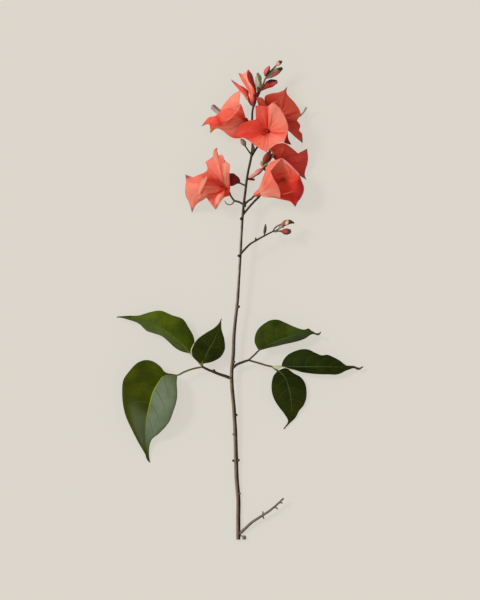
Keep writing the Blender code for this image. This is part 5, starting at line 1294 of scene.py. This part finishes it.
# %% Leaf lines
LEAVES = {
    "leaf_left_upper": {
        "veins": 7, "base": (-39, 148.9, 10.6), "tip": (-98.6, 178.4, 6),
        "stalk": [(-30, 138.9, 9.3), (-35.2, 144.8, 10.2), (-39, 148.9, 10.6)],
        "left": [(-36.5, 159.5, 8.5), (-41.5, 170.5, 8), (-45, 176, 8.5), (-55, 180, 9.5),
                 (-64, 183.5, 9), (-73.5, 181.7, 7), (-79.5, 179.8, 7.5), (-92, 179.2, 7.5)],
        "middle": [(-47, 157.5, 13), (-54.3, 163.4, 15), (-64.2, 170.2, 15), (-77.4, 175.2, 12),
                   (-89, 177.8, 8.5)],
        "right": [(-49.6, 152.2, 10), (-56, 157.5, 9), (-62.9, 163.4, 10.5), (-68.2, 165.1, 9.5),
                  (-74.2, 167.2, 8.5), (-81, 173.1, 8), (-92, 177, 7.5)],
    },
    "leaf_left_middle": {
        "veins": 5, "base": (-30.1, 141, 10.6), "tip": (-15.1, 176.7, 12),
        "stalk": [(-30.3, 139, 9.4), (-30.1, 140.8, 10.4), (-29.6, 143.4, 11.2)],
        "left": [(-37.6, 146.5, 14), (-38.3, 152.9, 15.5), (-34.4, 160.2, 16.5),
                 (-27.7, 165.4, 16), (-21, 169.4, 14.5), (-17.4, 172.6, 13)],
        "middle": [(-29.4, 142.9, 11.2), (-25.8, 150.9, 13), (-21.2, 158.8, 14),
                   (-17.6, 168, 13.5)],
        "right": [(-21.8, 142.8, 11.5), (-15.1, 146.9, 11), (-12.3, 152.2, 11), (-12.5, 160.2, 12),
                  (-14.9, 169, 12.5)],
    },
    "leaf_left_lower": {
        "veins": 7, "base": (-50.2, 131.8, 10.6), "tip": (-72.2, 61.8, 0.6),
        "stalk": [(-30.2, 138.4, 9.2), (-37.6, 136.9, 9.6), (-44.4, 134.5, 10.2),
                  (-50.2, 131.8, 10.6)],
        "left": [(-60.2, 134.3, 12.5), (-64.3, 139.5, 14), (-69, 142.7, 14.5), (-75.4, 144, 14.5),
                 (-81.5, 142.1, 14), (-88.2, 135.5, 13), (-93.3, 128, 12.5), (-94.3, 118.6, 12),
                 (-93.7, 108.9, 11), (-91.4, 99, 9.5), (-86.7, 88.3, 7.5), (-82, 79, 5),
                 (-76, 68.5, 2.4)],
        "middle": [(-56, 132.6, 10.6), (-61.5, 130.8, 10.4), (-66, 124.8, 9.8), (-69.8, 117.2, 9),
                   (-72.8, 105.6, 7.5), (-75.4, 92.3, 5.5), (-75.8, 82.3, 3.8), (-74.8, 72.4, 2)],
        "right": [(-50.6, 126.2, 14), (-50.2, 118.8, 16.5), (-50.6, 112.2, 17.5), (-53, 103.6, 17),
                  (-57.6, 93.2, 14.5), (-64.2, 85.7, 10), (-70.8, 80, 5.6), (-73, 70, 2.4)],
    },
    "leaf_right_upper": {
        "veins": 6, "base": (15, 151.6, 10.8), "tip": (64.6, 166.2, 8),
        "stalk": [(7, 144, 8.9), (11.4, 148, 10.2), (15, 151.6, 10.8)],
        "left": [(11.7, 158.8, 11), (13.3, 166.7, 10.5), (19.2, 173, 10), (25.2, 176, 9.5),
                 (30.5, 176, 9), (37.1, 173.4, 9.5), (43.8, 170.4, 10), (51.9, 168.3, 10),
                 (54.8, 169.2, 10), (58.2, 166.3, 9.5), (62.4, 165.3, 8.6)],
        "middle": [(20, 154.9, 13), (28.6, 158.6, 14.5), (37.1, 162.1, 14.5), (46.4, 164.8, 13),
                   (56, 165.8, 10.5), (62.4, 164.9, 8.5)],
        "right": [(23.9, 154, 10.5), (33.2, 156.2, 11), (42.5, 158.2, 10.5), (51.8, 161.1, 10),
                  (58.4, 164.8, 9), (62.6, 164.3, 8.4)],
    },
    "leaf_right_middle": {
        "veins": 7, "base": (33.2, 138.9, 9.4), "tip": (98.8, 138.5, 4),
        "stalk": [(7, 143.8, 8.8), (15.5, 141.4, 8.8), (21.5, 139.6, 9), (26.8, 138.6, 9.2),
                  (33.2, 138.9, 9.4)],
        "left": [(34.4, 143, 9), (37.8, 147.5, 8.5), (43.1, 150.8, 8), (49.1, 152.5, 8),
                 (54.4, 152.3, 8.5), (60.5, 149.5, 9), (65.4, 147.6, 8.2), (69.5, 148.1, 7.8),
                 (74.8, 146.2, 7), (79.9, 143.3, 6.5), (85.4, 139.2, 6), (91, 138.6, 5.4),
                 (95.2, 137.7, 4.8)],
        "middle": [(40, 138.8, 11.5), (46.4, 138.6, 13), (54.4, 138.6, 13.5), (65, 138.6, 12.5),
                   (75, 138.5, 10.5), (86.5, 138.1, 7.5), (91, 138, 5.8), (95.4, 137, 4.7)],
        "right": [(39.8, 136.8, 9), (50.4, 134.2, 8), (58.4, 133, 8.5), (69.7, 132.6, 8),
                  (77.6, 132.4, 6.5), (86.2, 136, 6), (91, 137.4, 5.4), (95.6, 136.2, 4.6)],
    },
    "leaf_right_lower": {
        "veins": 6, "base": (30.2, 135.4, 8.4), "tip": (35.3, 88.6, 0.6),
        "stalk": [(26.2, 138.5, 9.1), (28.2, 136.8, 8.6), (30.4, 135.2, 8.4)],
        "left": [(27, 131.5, 9.5), (25.3, 124.5, 10.5), (25.5, 118.5, 10.5), (27.2, 112.9, 9.5),
                 (31.2, 106.4, 7.5), (35.8, 100.4, 5), (38.4, 95.4, 2.6)],
        "middle": [(35.8, 130, 8.4), (39.1, 121, 8), (40.9, 112, 6.8), (41.1, 103, 4.8),
                   (39.8, 95.1, 2.2)],
        "right": [(37.1, 137.4, 6.5), (42.5, 133.6, 5), (49.1, 129.6, 4), (52.4, 124.3, 3.4),
                  (53.4, 117.7, 3), (52.4, 111, 2.8), (50.4, 107, 2.5), (47.1, 103, 2.2),
                  (44.5, 98, 1.6), (40.2, 93.6, 1.2)],
    },
}
print("leaves:", ", ".join(LEAVES))

# %% Leaf skin
VEIN_LEAN = 0.21
VEIN_BEND = 1.5
LEAF_CELLS = 620.0
VEIN_GREEN = (92, 108, 44)
NET_GREEN = (80, 96, 40)
SHEEN_GREY = (108, 122, 100)
SHEEN_VEIN = (62, 76, 46)


def leaf_skin(name, veins, dark, light, rib_colour, sheen):
    """Olive skin between a dark and a light green, with faint veins.

    sheen is a painted grey reflection on the right half of the blade, and a little of it low on
    the left."""
    skin = Finish(name, 0.04)
    across, out = skin.blade()
    side = abs(across)
    wander = (skin.cloud(14.0, 1.0) - 0.5) * 0.06
    phase = (out - side ** VEIN_BEND * VEIN_LEAN + wander) * float(veins)
    near = abs(phase - skin.maths("ROUND", phase))
    vein = skin.step(near, 0.01, 0.05, 1.0, 0.0) * skin.step(side, 0.45, 0.95, 1.0, 0.0)
    midrib = skin.step(side, 0.008, 0.028, 1.0, 0.0) * skin.step(out, 0.3, 0.9, 1.0, 0.2)
    net = skin.net(LEAF_CELLS, 0.12)
    blotch = skin.cloud(14.0)
    fine = skin.cloud(1.2)
    green = skin.mix(skin.step(blotch + (fine - 0.5) * 0.12, 0.3, 0.7), dark, light)
    green = skin.mix(vein * 0.17, green, VEIN_GREEN)
    green = skin.mix(net * 0.06, green, NET_GREEN)
    # Painted reflection: a grey sheen over the right half of the blade, crossed by darker veins,
    # and a little of it low on the left.
    if sheen:
        right = skin.step(across, 0.0, 0.05) * skin.step(across, 0.7, 1.0, 1.0, 0.55)
        right = right * skin.step(out, 0.04, 0.24, 0.35, 1.0) * skin.step(out, 0.72, 0.9, 1.0, 0.1)
        right = right * skin.step(blotch, 0.35, 0.65, 0.8, 1.12)
        left = skin.step(across, -0.9, -0.5) * skin.step(out, 0.45, 0.64, 0.0, 0.4)
        left = left * skin.step(out, 0.78, 0.92, 1.0, 0.1)
        left = left * skin.step(across, -0.05, 0.0, 1.0, 0.0)
        green = skin.mix((right + left) * sheen, green, SHEEN_GREY)
        green = skin.mix(right * vein * 0.7, green, SHEEN_VEIN)
    skin.set(base_color=skin.mix(midrib * 0.8, green, rib_colour))
    skin.set(roughness=0.55 + (fine - 0.5) * 0.25)
    skin.set(normal=skin.relief(fine * 0.5 + net * 0.4 - vein, 0.12, 0.4))
    return skin.material


print("leaf skins are made by leaf_skin()")

# %% Leaf blades
LEAF_ROWS = 90
LEAF_COLUMNS = 14
LEAF_THICKNESS = 0.32
QUILT = 0.35
CAMBER = 0.03
WAVE_SIZE, WAVE_HEIGHT = 9.0, 0.5
RIPPLE_SIZE, RIPPLE_HEIGHT = 3.0, 0.15
QUILTED_WIDTH, WAVY_WIDTH = 6.0, 8.0


def leaf_heights(out, side, veins, width):
    """How far each point of a blade stands above its plain surface, in mm."""
    phase = (out - side ** VEIN_BEND * VEIN_LEAN) * veins
    near = np.abs(phase - np.round(phase))
    quilt = np.sqrt(np.clip(near * 2, 0, 1)) * QUILT
    camber = np.sin(side * math.pi) * width * CAMBER
    quilt = quilt * np.sin(np.clip(side, 0, 1) * math.pi) ** 0.5
    return camber + quilt * np.minimum(1, width / QUILTED_WIDTH)


def leaf_blade(name, leaf, seed):
    """The blade between its three lines, with the midrib as a crease."""
    left, middle, right = (evenly([leaf["base"], *leaf[line], leaf["tip"]], LEAF_ROWS)
                           for line in ("left", "middle", "right"))
    halves = [np.linspace(left, middle, LEAF_COLUMNS, endpoint=False),
              np.linspace(middle, right, LEAF_COLUMNS + 1)]
    grid = np.concatenate(halves).transpose(1, 0, 2)
    across = np.linspace(-1, 1, 2 * LEAF_COLUMNS + 1)
    side = np.abs(across)[None, :]
    out = np.linspace(0, 1, LEAF_ROWS + 1)[:, None]
    width = np.where(across[None, :] < 0, np.linalg.norm(left - middle, axis=1)[:, None],
                     np.linalg.norm(right - middle, axis=1)[:, None])
    ways = normals(grid, False)
    ways *= np.sign(ways[..., 2:])
    height = leaf_heights(out, side, leaf["veins"], width)
    wavy = np.minimum(1, width / WAVY_WIDTH)
    height += rough(grid, WAVE_SIZE, seed) * WAVE_HEIGHT * side * wavy
    height += rough(grid, RIPPLE_SIZE, seed) * RIPPLE_HEIGHT * wavy
    return sheet_object(name, grid + ways * height[..., None], np.append(across, 1.0),
                        thickness=LEAF_THICKNESS)


print("leaf blades are made by leaf_blade()")

# %% [markdown]
# ## Leaf colours, tails and rims
#
# Each leaf has a dark and a light green, a colour for its midrib and a share of grey sheen,
# a painted reflection laid into its colour. Its tip runs out into a thin dry tail, which is a
# tube like the stalk. Where the light catches the edge of a leaf or the node of a stalk, a
# painted highlight is laid along it as a narrow pale strip.

# %% Leaves
# For each leaf: its dark green, its light green, its midrib colour and its share of painted grey
# sheen.
LEAF_LOOKS = {
    "leaf_left_upper": ((52, 64, 8), (78, 92, 10), (84, 98, 34), 0.14),
    "leaf_left_middle": ((28, 34, 4), (42, 50, 8), (104, 116, 54), 0),
    "leaf_left_lower": ((48, 56, 4), (66, 76, 6), (160, 176, 72), 0.85),
    "leaf_right_upper": ((34, 44, 4), (56, 68, 6), (84, 98, 34), 0.16),
    "leaf_right_middle": ((24, 33, 3), (35, 45, 6), (92, 108, 62), 0),
    "leaf_right_lower": ((26, 33, 4), (40, 48, 8), (84, 96, 54), 0),
}
TAILS = {
    "leaf_left_upper": (
        [(-84, 177.4, 8.2), (-88, 178.4, 8.2), (-92, 178.4, 7.6), (-96, 178.6, 6.8),
         (-98.5, 178.2, 6)], [0.7, 0.75, 0.5, 0.4, 0.4]),
    "leaf_left_middle": (
        [(-15.9, 171.8, 13), (-15.7, 174.4, 12.5), (-14.9, 176.8, 12)], [0.5, 0.45, 0.35]),
    "leaf_left_lower": (
        [(-75.6, 70.5, 2.2), (-74.8, 66.5, 1.5), (-73.6, 63.6, 1), (-72.4, 62.1, 0.8)],
        [0.6, 0.7, 0.65, 0.5]),
    "leaf_right_upper": (
        [(57.4, 166.8, 9.6), (60.2, 165.1, 9), (62.8, 164.5, 8.4), (64.7, 166.2, 8)],
        [0.6, 0.7, 0.8, 0.4]),
    "leaf_right_middle": (
        [(86, 138.9, 6.4), (91, 138.5, 5.4), (95.3, 136.9, 4.6), (98.5, 138.5, 4)],
        [0.6, 0.7, 1, 0.4]),
    "leaf_right_lower": (
        [(39.6, 94.6, 1.8), (37.4, 91.4, 1.4), (35.2, 88.8, 0.9)], [0.6, 0.6, 0.45]),
}
# Each stalk skin has a row of colours for its lit side and one for its painted shaded side.
STALKS = {
    "green_stalk": (
        [(0, (112, 112, 60)), (0.3, (120, 124, 66)), (1, (112, 130, 56))],
        [(0, (66, 60, 32)), (1, (60, 70, 26))]),
    "brown_stalk": (
        [(0, (84, 76, 56)), (0.3, (104, 104, 66)), (1, (84, 98, 44))],
        [(0, (48, 40, 28)), (1, (48, 56, 22))]),
    "leaf_tail": (
        [(0, (62, 70, 22)), (0.35, (66, 60, 40)), (1, (74, 64, 56))],
        [(0, (44, 50, 16)), (0.4, (40, 34, 22)), (1, (40, 30, 24))]),
}
# Painted highlights: pale strips where the light catches the edge of a leaf, and the node on a
# stalk.
HIGHLIGHT_RIMS = [
    ("leaf_left_middle", [(-38.4, 146.9, 14.7), (-39, 151.4, 15.9), (-36.6, 157.4, 16.8)],
     [0.25, 0.4, 0.2]),
    ("leaf_right_middle", [(35.2, 138.2, 9.9), (40.2, 136.9, 9.4), (46.4, 135.3, 8.8)],
     [0.35, 0.4, 0.15]),
    ("leaf_right_middle", [(26.2, 139, 9.9), (29.4, 137.8, 10.1), (33.6, 139, 10.3)],
     [0.5, 1.35, 0.35]),
]
STALK_RADIUS = 0.75
MIDRIB_RADII = (0.5, 0.1)
MIDRIB_SUNK = 0.3
RIM_HIGHLIGHT_SKIN = scale_skin("leaf_rim_highlight", (206, 206, 158), (150, 156, 100))
stalk_skins = {kind: bud_skin(kind, *rows) for kind, rows in STALKS.items()}
for number, (name, path, half_widths) in enumerate(HIGHLIGHT_RIMS):
    strip_piece(f"{name}_rim_{number + 1}", name, "leaf", RIM_HIGHLIGHT_SKIN,
                strip_grid(path, half_widths, 0.3, 14, 7))
for seed, (name, leaf) in enumerate(LEAVES.items()):
    blade = leaf_blade(name + "_blade", leaf, seed * 4.1)
    hand_in(blade, name, "leaf", leaf_skin(name + "_skin", leaf["veins"], *LEAF_LOOKS[name]))
    midrib = [(x, y, z - MIDRIB_SUNK) for x, y, z in leaf["middle"]]
    radii = [STALK_RADIUS] * (len(leaf["stalk"]) - 1)
    radii += list(np.linspace(*MIDRIB_RADII, len(midrib) + 1))
    stalk_skin = stalk_skins["brown_stalk" if "right" in name else "green_stalk"]
    round_piece(name + "_stalk", name, "leaf", stalk_skin,
                tube_points(leaf["stalk"] + midrib, radii, 70, 12, uneven=0.05, seed=seed))
    round_piece(name + "_tail", name, "leaf", stalk_skins["leaf_tail"],
                tube_points(*TAILS[name], 24, 10, uneven=0.12, seed=seed))
    print(name, len(blade.data.polygons), "faces")

# %% [markdown]
# ## The stem
#
# The woody stem, its twigs and its knobs grew as one piece. Each is a tube, and the tubes
# overlap where they join. A Boolean union would leave a hard line there. A voxel remesh melts
# them together with a soft fillet, as wood grows. After it, the points are moved a little
# along the way they face: long low ridges that follow the stem, and smaller pits. Two values
# are painted on: how far each point faces the light from the upper left, for painted light
# and shade on the bark, and where it is twig rather than trunk.

# %% Stem lines
STEM_THICK, STEM_THIN = 1.75, 0.78
EVEN_BELOW = 32
STEM_TOP = 356
BED = STEM_THICK * math.cos(math.pi / 8)
STEM_LINE = [
    (-1.4, 0, BED), (-1.4, 16, BED), (-1.3, 32, BED + 0.03), (-2.6, 48, 1.9), (-3.2, 66, 2.8),
    (-3.8, 86, 4.2), (-5, 107, 5.8), (-6.6, 126, 7), (-6.6, 136, 7.4), (-5.4, 148, 8),
    (-4.9, 162, 8.8), (-3.7, 176, 9.6), (-2, 192, 10.6), (-1, 208, 11.5), (0.4, 232, 12.8),
    (1.8, 256, 14), (3.8, 275, 14.9), (6.2, 293, 15.7), (9.1, 307.3, 16.2), (10.2, 320, 16.6),
    (9.6, 334, 17), (11, 348, 17.4), (14.6, 356, 18),
]
TWIGS = [
    ([(-1.2, 4, 1.8), (3.5, 8.2, 2.6), (8.5, 13, 3.6), (16.5, 18.5, 5), (23, 22.7, 6),
      (30, 28.6, 6.9), (34.7, 33, 7.6)], 1.3, 0.8),
    ([(-1.2, 3.4, 1.4), (1.2, 2.9, 1.2), (3.2, 2.2, 1.2)], 0.5, 0.5),
    ([(3.4, 2.4, 1.6), (3.4, 1.7, 1.6), (3.4, 0.9, 1.6)], 1.5, 1.7),
    ([(18, 19.5, 5.2), (18.4, 21, 5.8), (18.2, 22.6, 6.3)], 0.75, 0.5),
    ([(18, 19.5, 5.2), (18.7, 17.8, 4.6), (19.2, 16.6, 4.3)], 0.75, 0.5),
    ([(27.6, 26.6, 6.6), (29.2, 25.4, 6.2), (30.4, 24.4, 6)], 0.75, 0.5),
    ([(31.2, 29.6, 7.1), (32.6, 29.7, 7.2), (34, 29.3, 7.3)], 0.75, 0.5),
    ([(-6.6, 129, 7), (-10.5, 130.6, 7.4), (-16, 132.4, 8), (-21.3, 134.5, 8.5), (-26, 136.4, 8.9),
      (-30.2, 138.6, 9.2)], 1.35, 0.95),
    ([(-5.9, 137.6, 7.5), (-2.8, 140.2, 7.9), (1.9, 142.2, 8.4), (7.2, 144, 8.9)], 1.2, 0.9),
    ([(0.6, 229, 12.6), (4.6, 233.4, 13.2), (7.9, 236.6, 13.8), (12.5, 239.4, 14.6),
      (19.8, 243.5, 15.6), (26.2, 246.7, 16.4), (30.4, 248.3, 16.9)], 0.95, 0.6),
    ([(12, 239.1, 14.5), (12.5, 240.4, 14.9), (12.6, 241.6, 15.2)], 0.7, 0.6),
    ([(3.2, 268, 14.6), (-0.8, 270.4, 14.3), (-4.6, 271.6, 13.8), (-6.6, 274, 13.2),
      (-8.1, 276.6, 12.6)], 0.9, 0.75),
    ([(-4.4, 271.5, 13.8), (-6, 269.2, 13.4), (-8.2, 268.2, 13.2), (-10.4, 268.7, 13.5),
      (-12.2, 271.2, 14.2)], 0.55, 0.35),
    ([(4.7, 283.4, 15.2), (2.2, 284.4, 14.4), (-0.4, 285.7, 13.2)], 0.75, 0.7),
    ([(3.2, 268, 14.5), (6.6, 271.2, 14.6), (9.4, 273.2, 14.8), (11, 275, 15)], 0.9, 0.85),
    ([(2, 259.6, 14.1), (6.6, 265.4, 13.9), (11.2, 270.6, 13.4), (14.9, 274.3, 13.2),
      (17, 276.8, 13.7)], 0.9, 0.95),
    ([(5.6, 288.4, 15.5), (9.6, 290.2, 12.6), (14, 293.2, 11.2), (18.6, 297, 10.8),
      (21.2, 300.6, 10.6), (22.8, 303.8, 10.4)], 0.75, 0.9),
    ([(6.8, 288.6, 14.8), (9, 288.3, 14.4), (11.4, 288.2, 14.2)], 0.75, 0.8),
    ([(9.2, 308, 16.3), (6.6, 311.4, 17.2), (4.4, 314.8, 17.8)], 0.7, 0.6),
    ([(9.2, 306.6, 16.2), (12.7, 312.6, 15.4), (16.2, 317.6, 14.6), (18.6, 321.4, 14.4)], 0.85,
     0.8),
    ([(10.1, 322, 16.7), (8.9, 326.4, 15.6), (7.8, 330.2, 14.6)], 0.8, 0.75),
    ([(10, 330, 16.8), (14.6, 333.2, 13.8), (19.4, 335.4, 11.2), (22.8, 336, 10.2)], 0.8, 0.75),
    ([(14.2, 355, 17.9), (17.4, 361.6, 18.8), (20.2, 369, 19.4)], 0.9, 0.7),
    ([(20, 368.6, 19.4), (21.8, 371.8, 19.6), (24.6, 374.8, 19.8), (28.6, 378.8, 20)], 0.7, 0.75),
    ([(11.2, 348.6, 17.4), (10.8, 349.8, 18.4), (10.6, 350.8, 19.6)], 0.7, 0.7),
]
KNOBS = [
    ((-3.9, 63, 2.7), (-1, 0.2, 0.2)), ((-2.6, 63.5, 2.7), (1, 0.1, 0.3)),
    ((-3.6, 84, 4.1), (-1, 0.3, 0.2)), ((-4.4, 99.6, 5.2), (1, 0.2, 0.2)),
    ((-1.6, 36.4, 1.9), (1, 0.3, 0.5)), ((-6.6, 130.6, 7.2), (-0.8, -0.6, 0.5)),
    ((-5.8, 141.6, 7.7), (0.8, 0.7, 0.5)), ((-2.4, 186.4, 10.3), (1, 0.2, 0.3)),
    ((0.2, 227.2, 12.6), (-0.85, 0.1, 0.5)), ((1.3, 257.2, 13.9), (-0.35, -0.2, 0.9)),
    ((3.6, 268.6, 14.7), (0.3, -1, 0.2)), ((-20.6, 134.2, 8.5), (-0.2, 1, 0.4)),
]
print("twigs:", len(TWIGS), "knobs:", len(KNOBS))

# %% Stem mesh
STEM_VOXEL = 0.26
KNOB = 1.2
BARK_RIDGE, BARK_PIT = 0.07, 0.06


def stem_pieces():
    """The rings of the stem, of each twig with its first and last radius, of each knob."""
    widths = [STEM_THICK] * 3 + list(np.linspace(STEM_THICK, STEM_THIN, 20))
    yield tube_points(STEM_LINE, widths, 200, 16, ends=(0.05, 0.6))
    for path, thick, thin in TWIGS:
        yield tube_points(path, [thick, thin], 24, 12)
    for seat, way in KNOBS:
        seat, way = np.array(seat), KNOB * np.array(way) / np.linalg.norm(way)
        yield tube_points([seat - way * 0.2, seat + way * 0.9, seat + way * 1.7],
                          [1.2, 1.3, 0.85], 8, 12)


def fused_stem():
    """One closed body out of all the tubes."""
    points, faces = [], []
    for rings in stem_pieces():
        start = len(points)
        points += list(rings.reshape(-1, 3))
        faces += [tuple(start + corner for corner in face)
                  for face in closed_faces(*rings.shape[:2])[0]]
    stem = new_object("stem_bark", points, faces)
    melt = stem.modifiers.new("melt", "REMESH")
    melt.mode = "VOXEL"
    melt.voxel_size = STEM_VOXEL / 1000
    even = stem.modifiers.new("even", "SMOOTH")
    even.factor = 0.5
    even.iterations = 3
    seen = stem.evaluated_get(bpy.context.evaluated_depsgraph_get())
    fine = bpy.data.meshes.new_from_object(seen)
    stem.modifiers.clear()
    stem.data = fine
    return stem


def read(holders, label):
    """The vectors of all points of a mesh, in rows of three."""
    values = np.empty(len(holders) * 3)
    holders.foreach_get(label, values)
    return values.reshape(-1, 3)


stem = fused_stem()
where = read(stem.data.vertices, "co")
ways = read(stem.data.vertex_normals, "vector")
ridges = rough(where * (1000, 120, 1000), 0.9) * BARK_RIDGE
pits = rough(where * 1000, 1.1, 9.0) * BARK_PIT
where += ways * ((ridges + pits) / 1000)[:, None]
where[:, 2] = np.maximum(where[:, 2], 0.00002)
stem.data.vertices.foreach_set("co", where.ravel())
stem.data.shade_smooth()
x_line, y_line, z_line = place(evenly(STEM_LINE, 240)).T
gap = np.hypot(where[:, 0] - np.interp(where[:, 1], y_line, x_line),
               where[:, 2] - np.interp(where[:, 1], y_line, z_line)) * 1000
thick = np.interp(where[:, 1] * 1000 + SPRIG_LENGTH / 2, [0, EVEN_BELOW, STEM_TOP],
                  [STEM_THICK, STEM_THICK, STEM_THIN])
# Painted light and shade: a high value where the bark faces the light from the upper left, a low
# one on the far side.
paint_on(stem.data, {
    "weathered": np.clip(0.5 - 0.62 * ways[:, 0] + 0.1 * ways[:, 2], 0, 1),
    "twig": np.clip((gap - thick - 0.25) / 0.6, 0, 1)})
print("stem:", len(stem.data.polygons), "faces")

# %% [markdown]
# ## Bark
#
# The young wood is brown at the cut, has a grey bloom higher up, and is nearly black among
# the flowers, where it turns wine red at last. Twigs are olive, then black. Each of these
# woods is a ramp from dark to light, read by the painted lit side: painted shade on the side
# away from the light, painted light on the side toward it. Lengthwise streaks come from a
# noise that is squeezed along the stem, and pale corky specks are scattered over it.

# %% Bark
# Each ramp runs from the painted shaded side of its wood to the painted lit side.
WOODS = {
    "brown": [(0.1, (30, 18, 10)), (0.45, (58, 42, 31)), (0.7, (104, 88, 74)),
              (1, (134, 120, 106))],
    "grey": [(0.1, (32, 23, 15)), (0.55, (56, 46, 36)), (0.8, (138, 130, 118)),
             (1, (176, 170, 158))],
    "black": [(0.05, (28, 18, 10)), (0.5, (50, 36, 26)), (1, (88, 72, 60))],
    "olive": [(0.05, (28, 23, 14)), (0.5, (42, 37, 26)), (1, (80, 74, 58))],
    "wine": [(0.05, (34, 12, 10)), (0.5, (50, 24, 20)), (1, (84, 56, 50))],
    "pale": [(0.05, (112, 100, 92)), (0.5, (150, 137, 128)), (1, (180, 168, 158))],
}
SPECK = (168, 152, 132)


def bark_skin():
    """Woods that follow each other up the stem, and up the twigs.

    up is the way along the sprig in metres, 0 at its middle."""
    bark = Finish("bark", 0.12)
    up = bark.node("ShaderNodeSeparateXYZ", sockets={"Vector": bark.spot()}, output=1)
    streak = bark.cloud(0.9, 4.0, (1.0, 0.12, 1.0))
    blotch = bark.cloud(7.0, 4.0)
    speck = bark.step(bark.cloud(0.8, 1.0), 0.66, 0.74)
    # Painted light and shade: lighter where the wood faces the light, darker on the far side.
    light = bark.painted("weathered") + (streak - 0.5) * 0.5 + (blotch - 0.5) * 0.4
    woods = {tone: bark.ramp(light, stops) for tone, stops in WOODS.items()}
    trunk = woods["brown"]
    for tone, low, high in (("grey", -0.03, 0.03), ("black", 0.058, 0.074),
                            ("wine", 0.132, 0.146)):
        trunk = bark.mix(bark.step(up, low, high), trunk, woods[tone])
    twig = bark.mix(bark.step(up, 0.045, 0.066), woods["olive"], woods["black"])
    top = bark.step(up, 0.161, 0.167) * bark.step(up, 0.178, 0.184, 1.0, 0.15)
    foot = bark.step(up, -0.15, -0.13, 0.35, 0.0)
    twig = bark.mix(top + foot, twig, woods["pale"])
    wood = bark.mix(bark.painted("twig"), trunk, twig)
    bark.set(base_color=bark.mix(speck * 0.3, wood, SPECK))
    bark.set(roughness=0.8 + (streak - 0.5) * 0.25)
    bark.set(normal=bark.relief(streak + speck * 0.6, 0.25, 0.8))
    return bark.material


hand_in(stem, "stem", "bark", bark_skin())
print("bark is on the stem")

# %% [markdown]
# ## Table, light and camera
#
# The photograph has a plain pale ground with hardly a shadow. A floor that glows a little
# keeps the shadows faint. The light comes softly from the upper left, low enough to leave
# the inside of the right hand bloom in shade. The camera is far away with a long lens, so
# that the high blooms are not drawn larger than the low leaves.

# %% Floor
FLOOR_SIZE = 6.0
GROUND = (221, 216, 206)
GRAIN = (100, 98, 93), (106, 104, 99)


def flat_floor():
    """A square table top under the sprig, stretched out from the middle of the frame."""
    mesh = bpy.data.meshes.new("table")
    half = FLOOR_SIZE / 2
    mesh.from_pydata([(-half, -half, 0), (half, -half, 0), (half, half, 0), (-half, half, 0)],
                     [], [(0, 1, 2, 3)])
    table = bpy.data.objects.new("table", mesh)
    bpy.context.scene.collection.objects.link(table)
    table.location.z = -0.0001
    paint = Finish("table_paint", 0.1)
    paint.set(base_color=paint.mix(paint.cloud(30.0, 2.0) * 0.06, *GRAIN))
    paint.set(roughness=0.9, emission_color=linear(GROUND), emission_strength=0.8)
    mesh.materials.append(paint.material)
    table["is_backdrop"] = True


flat_floor()
print("table:", FLOOR_SIZE, "m wide")

# %% Light
sun = bpy.data.lights.new("window", "SUN")
sun.energy = 1.7
sun.angle = math.radians(14)
sun.color = (1.0, 0.98, 0.95)
window = bpy.data.objects.new("window", sun)
window.rotation_euler = Vector((0.62, -0.35, -0.75)).to_track_quat("-Z", "Y").to_euler()
bpy.context.scene.collection.objects.link(window)
world = bpy.data.worlds.new("room")
world.use_nodes = True
background = world.node_tree.nodes["Background"]
background.inputs["Color"].default_value = (0.75, 0.72, 0.66, 1)
background.inputs["Strength"].default_value = 0.86
bpy.context.scene.world = world
bpy.context.scene.view_settings.view_transform = "Standard"
print("window from the upper left:", sun.energy)

# %% Camera
FRAME_HEIGHT = 0.480
CAMERA_HEIGHT = 5.0
BLOOM_LEVEL = 0.012
SENSOR = 36.0
lens = bpy.data.cameras.new("camera")
lens.sensor_fit = "VERTICAL"
lens.sensor_height = SENSOR
lens.lens = SENSOR * CAMERA_HEIGHT / FRAME_HEIGHT
lens.clip_end = 20
camera = bpy.data.objects.new("camera", lens)
camera.location = (0, 0, CAMERA_HEIGHT + BLOOM_LEVEL)
bpy.context.scene.collection.objects.link(camera)
bpy.context.scene.camera = camera
print("lens:", round(lens.lens), "mm")

# %% Finish
seen_box = [list(corner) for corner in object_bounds()]
print("visual box:", rounded(seen_box))
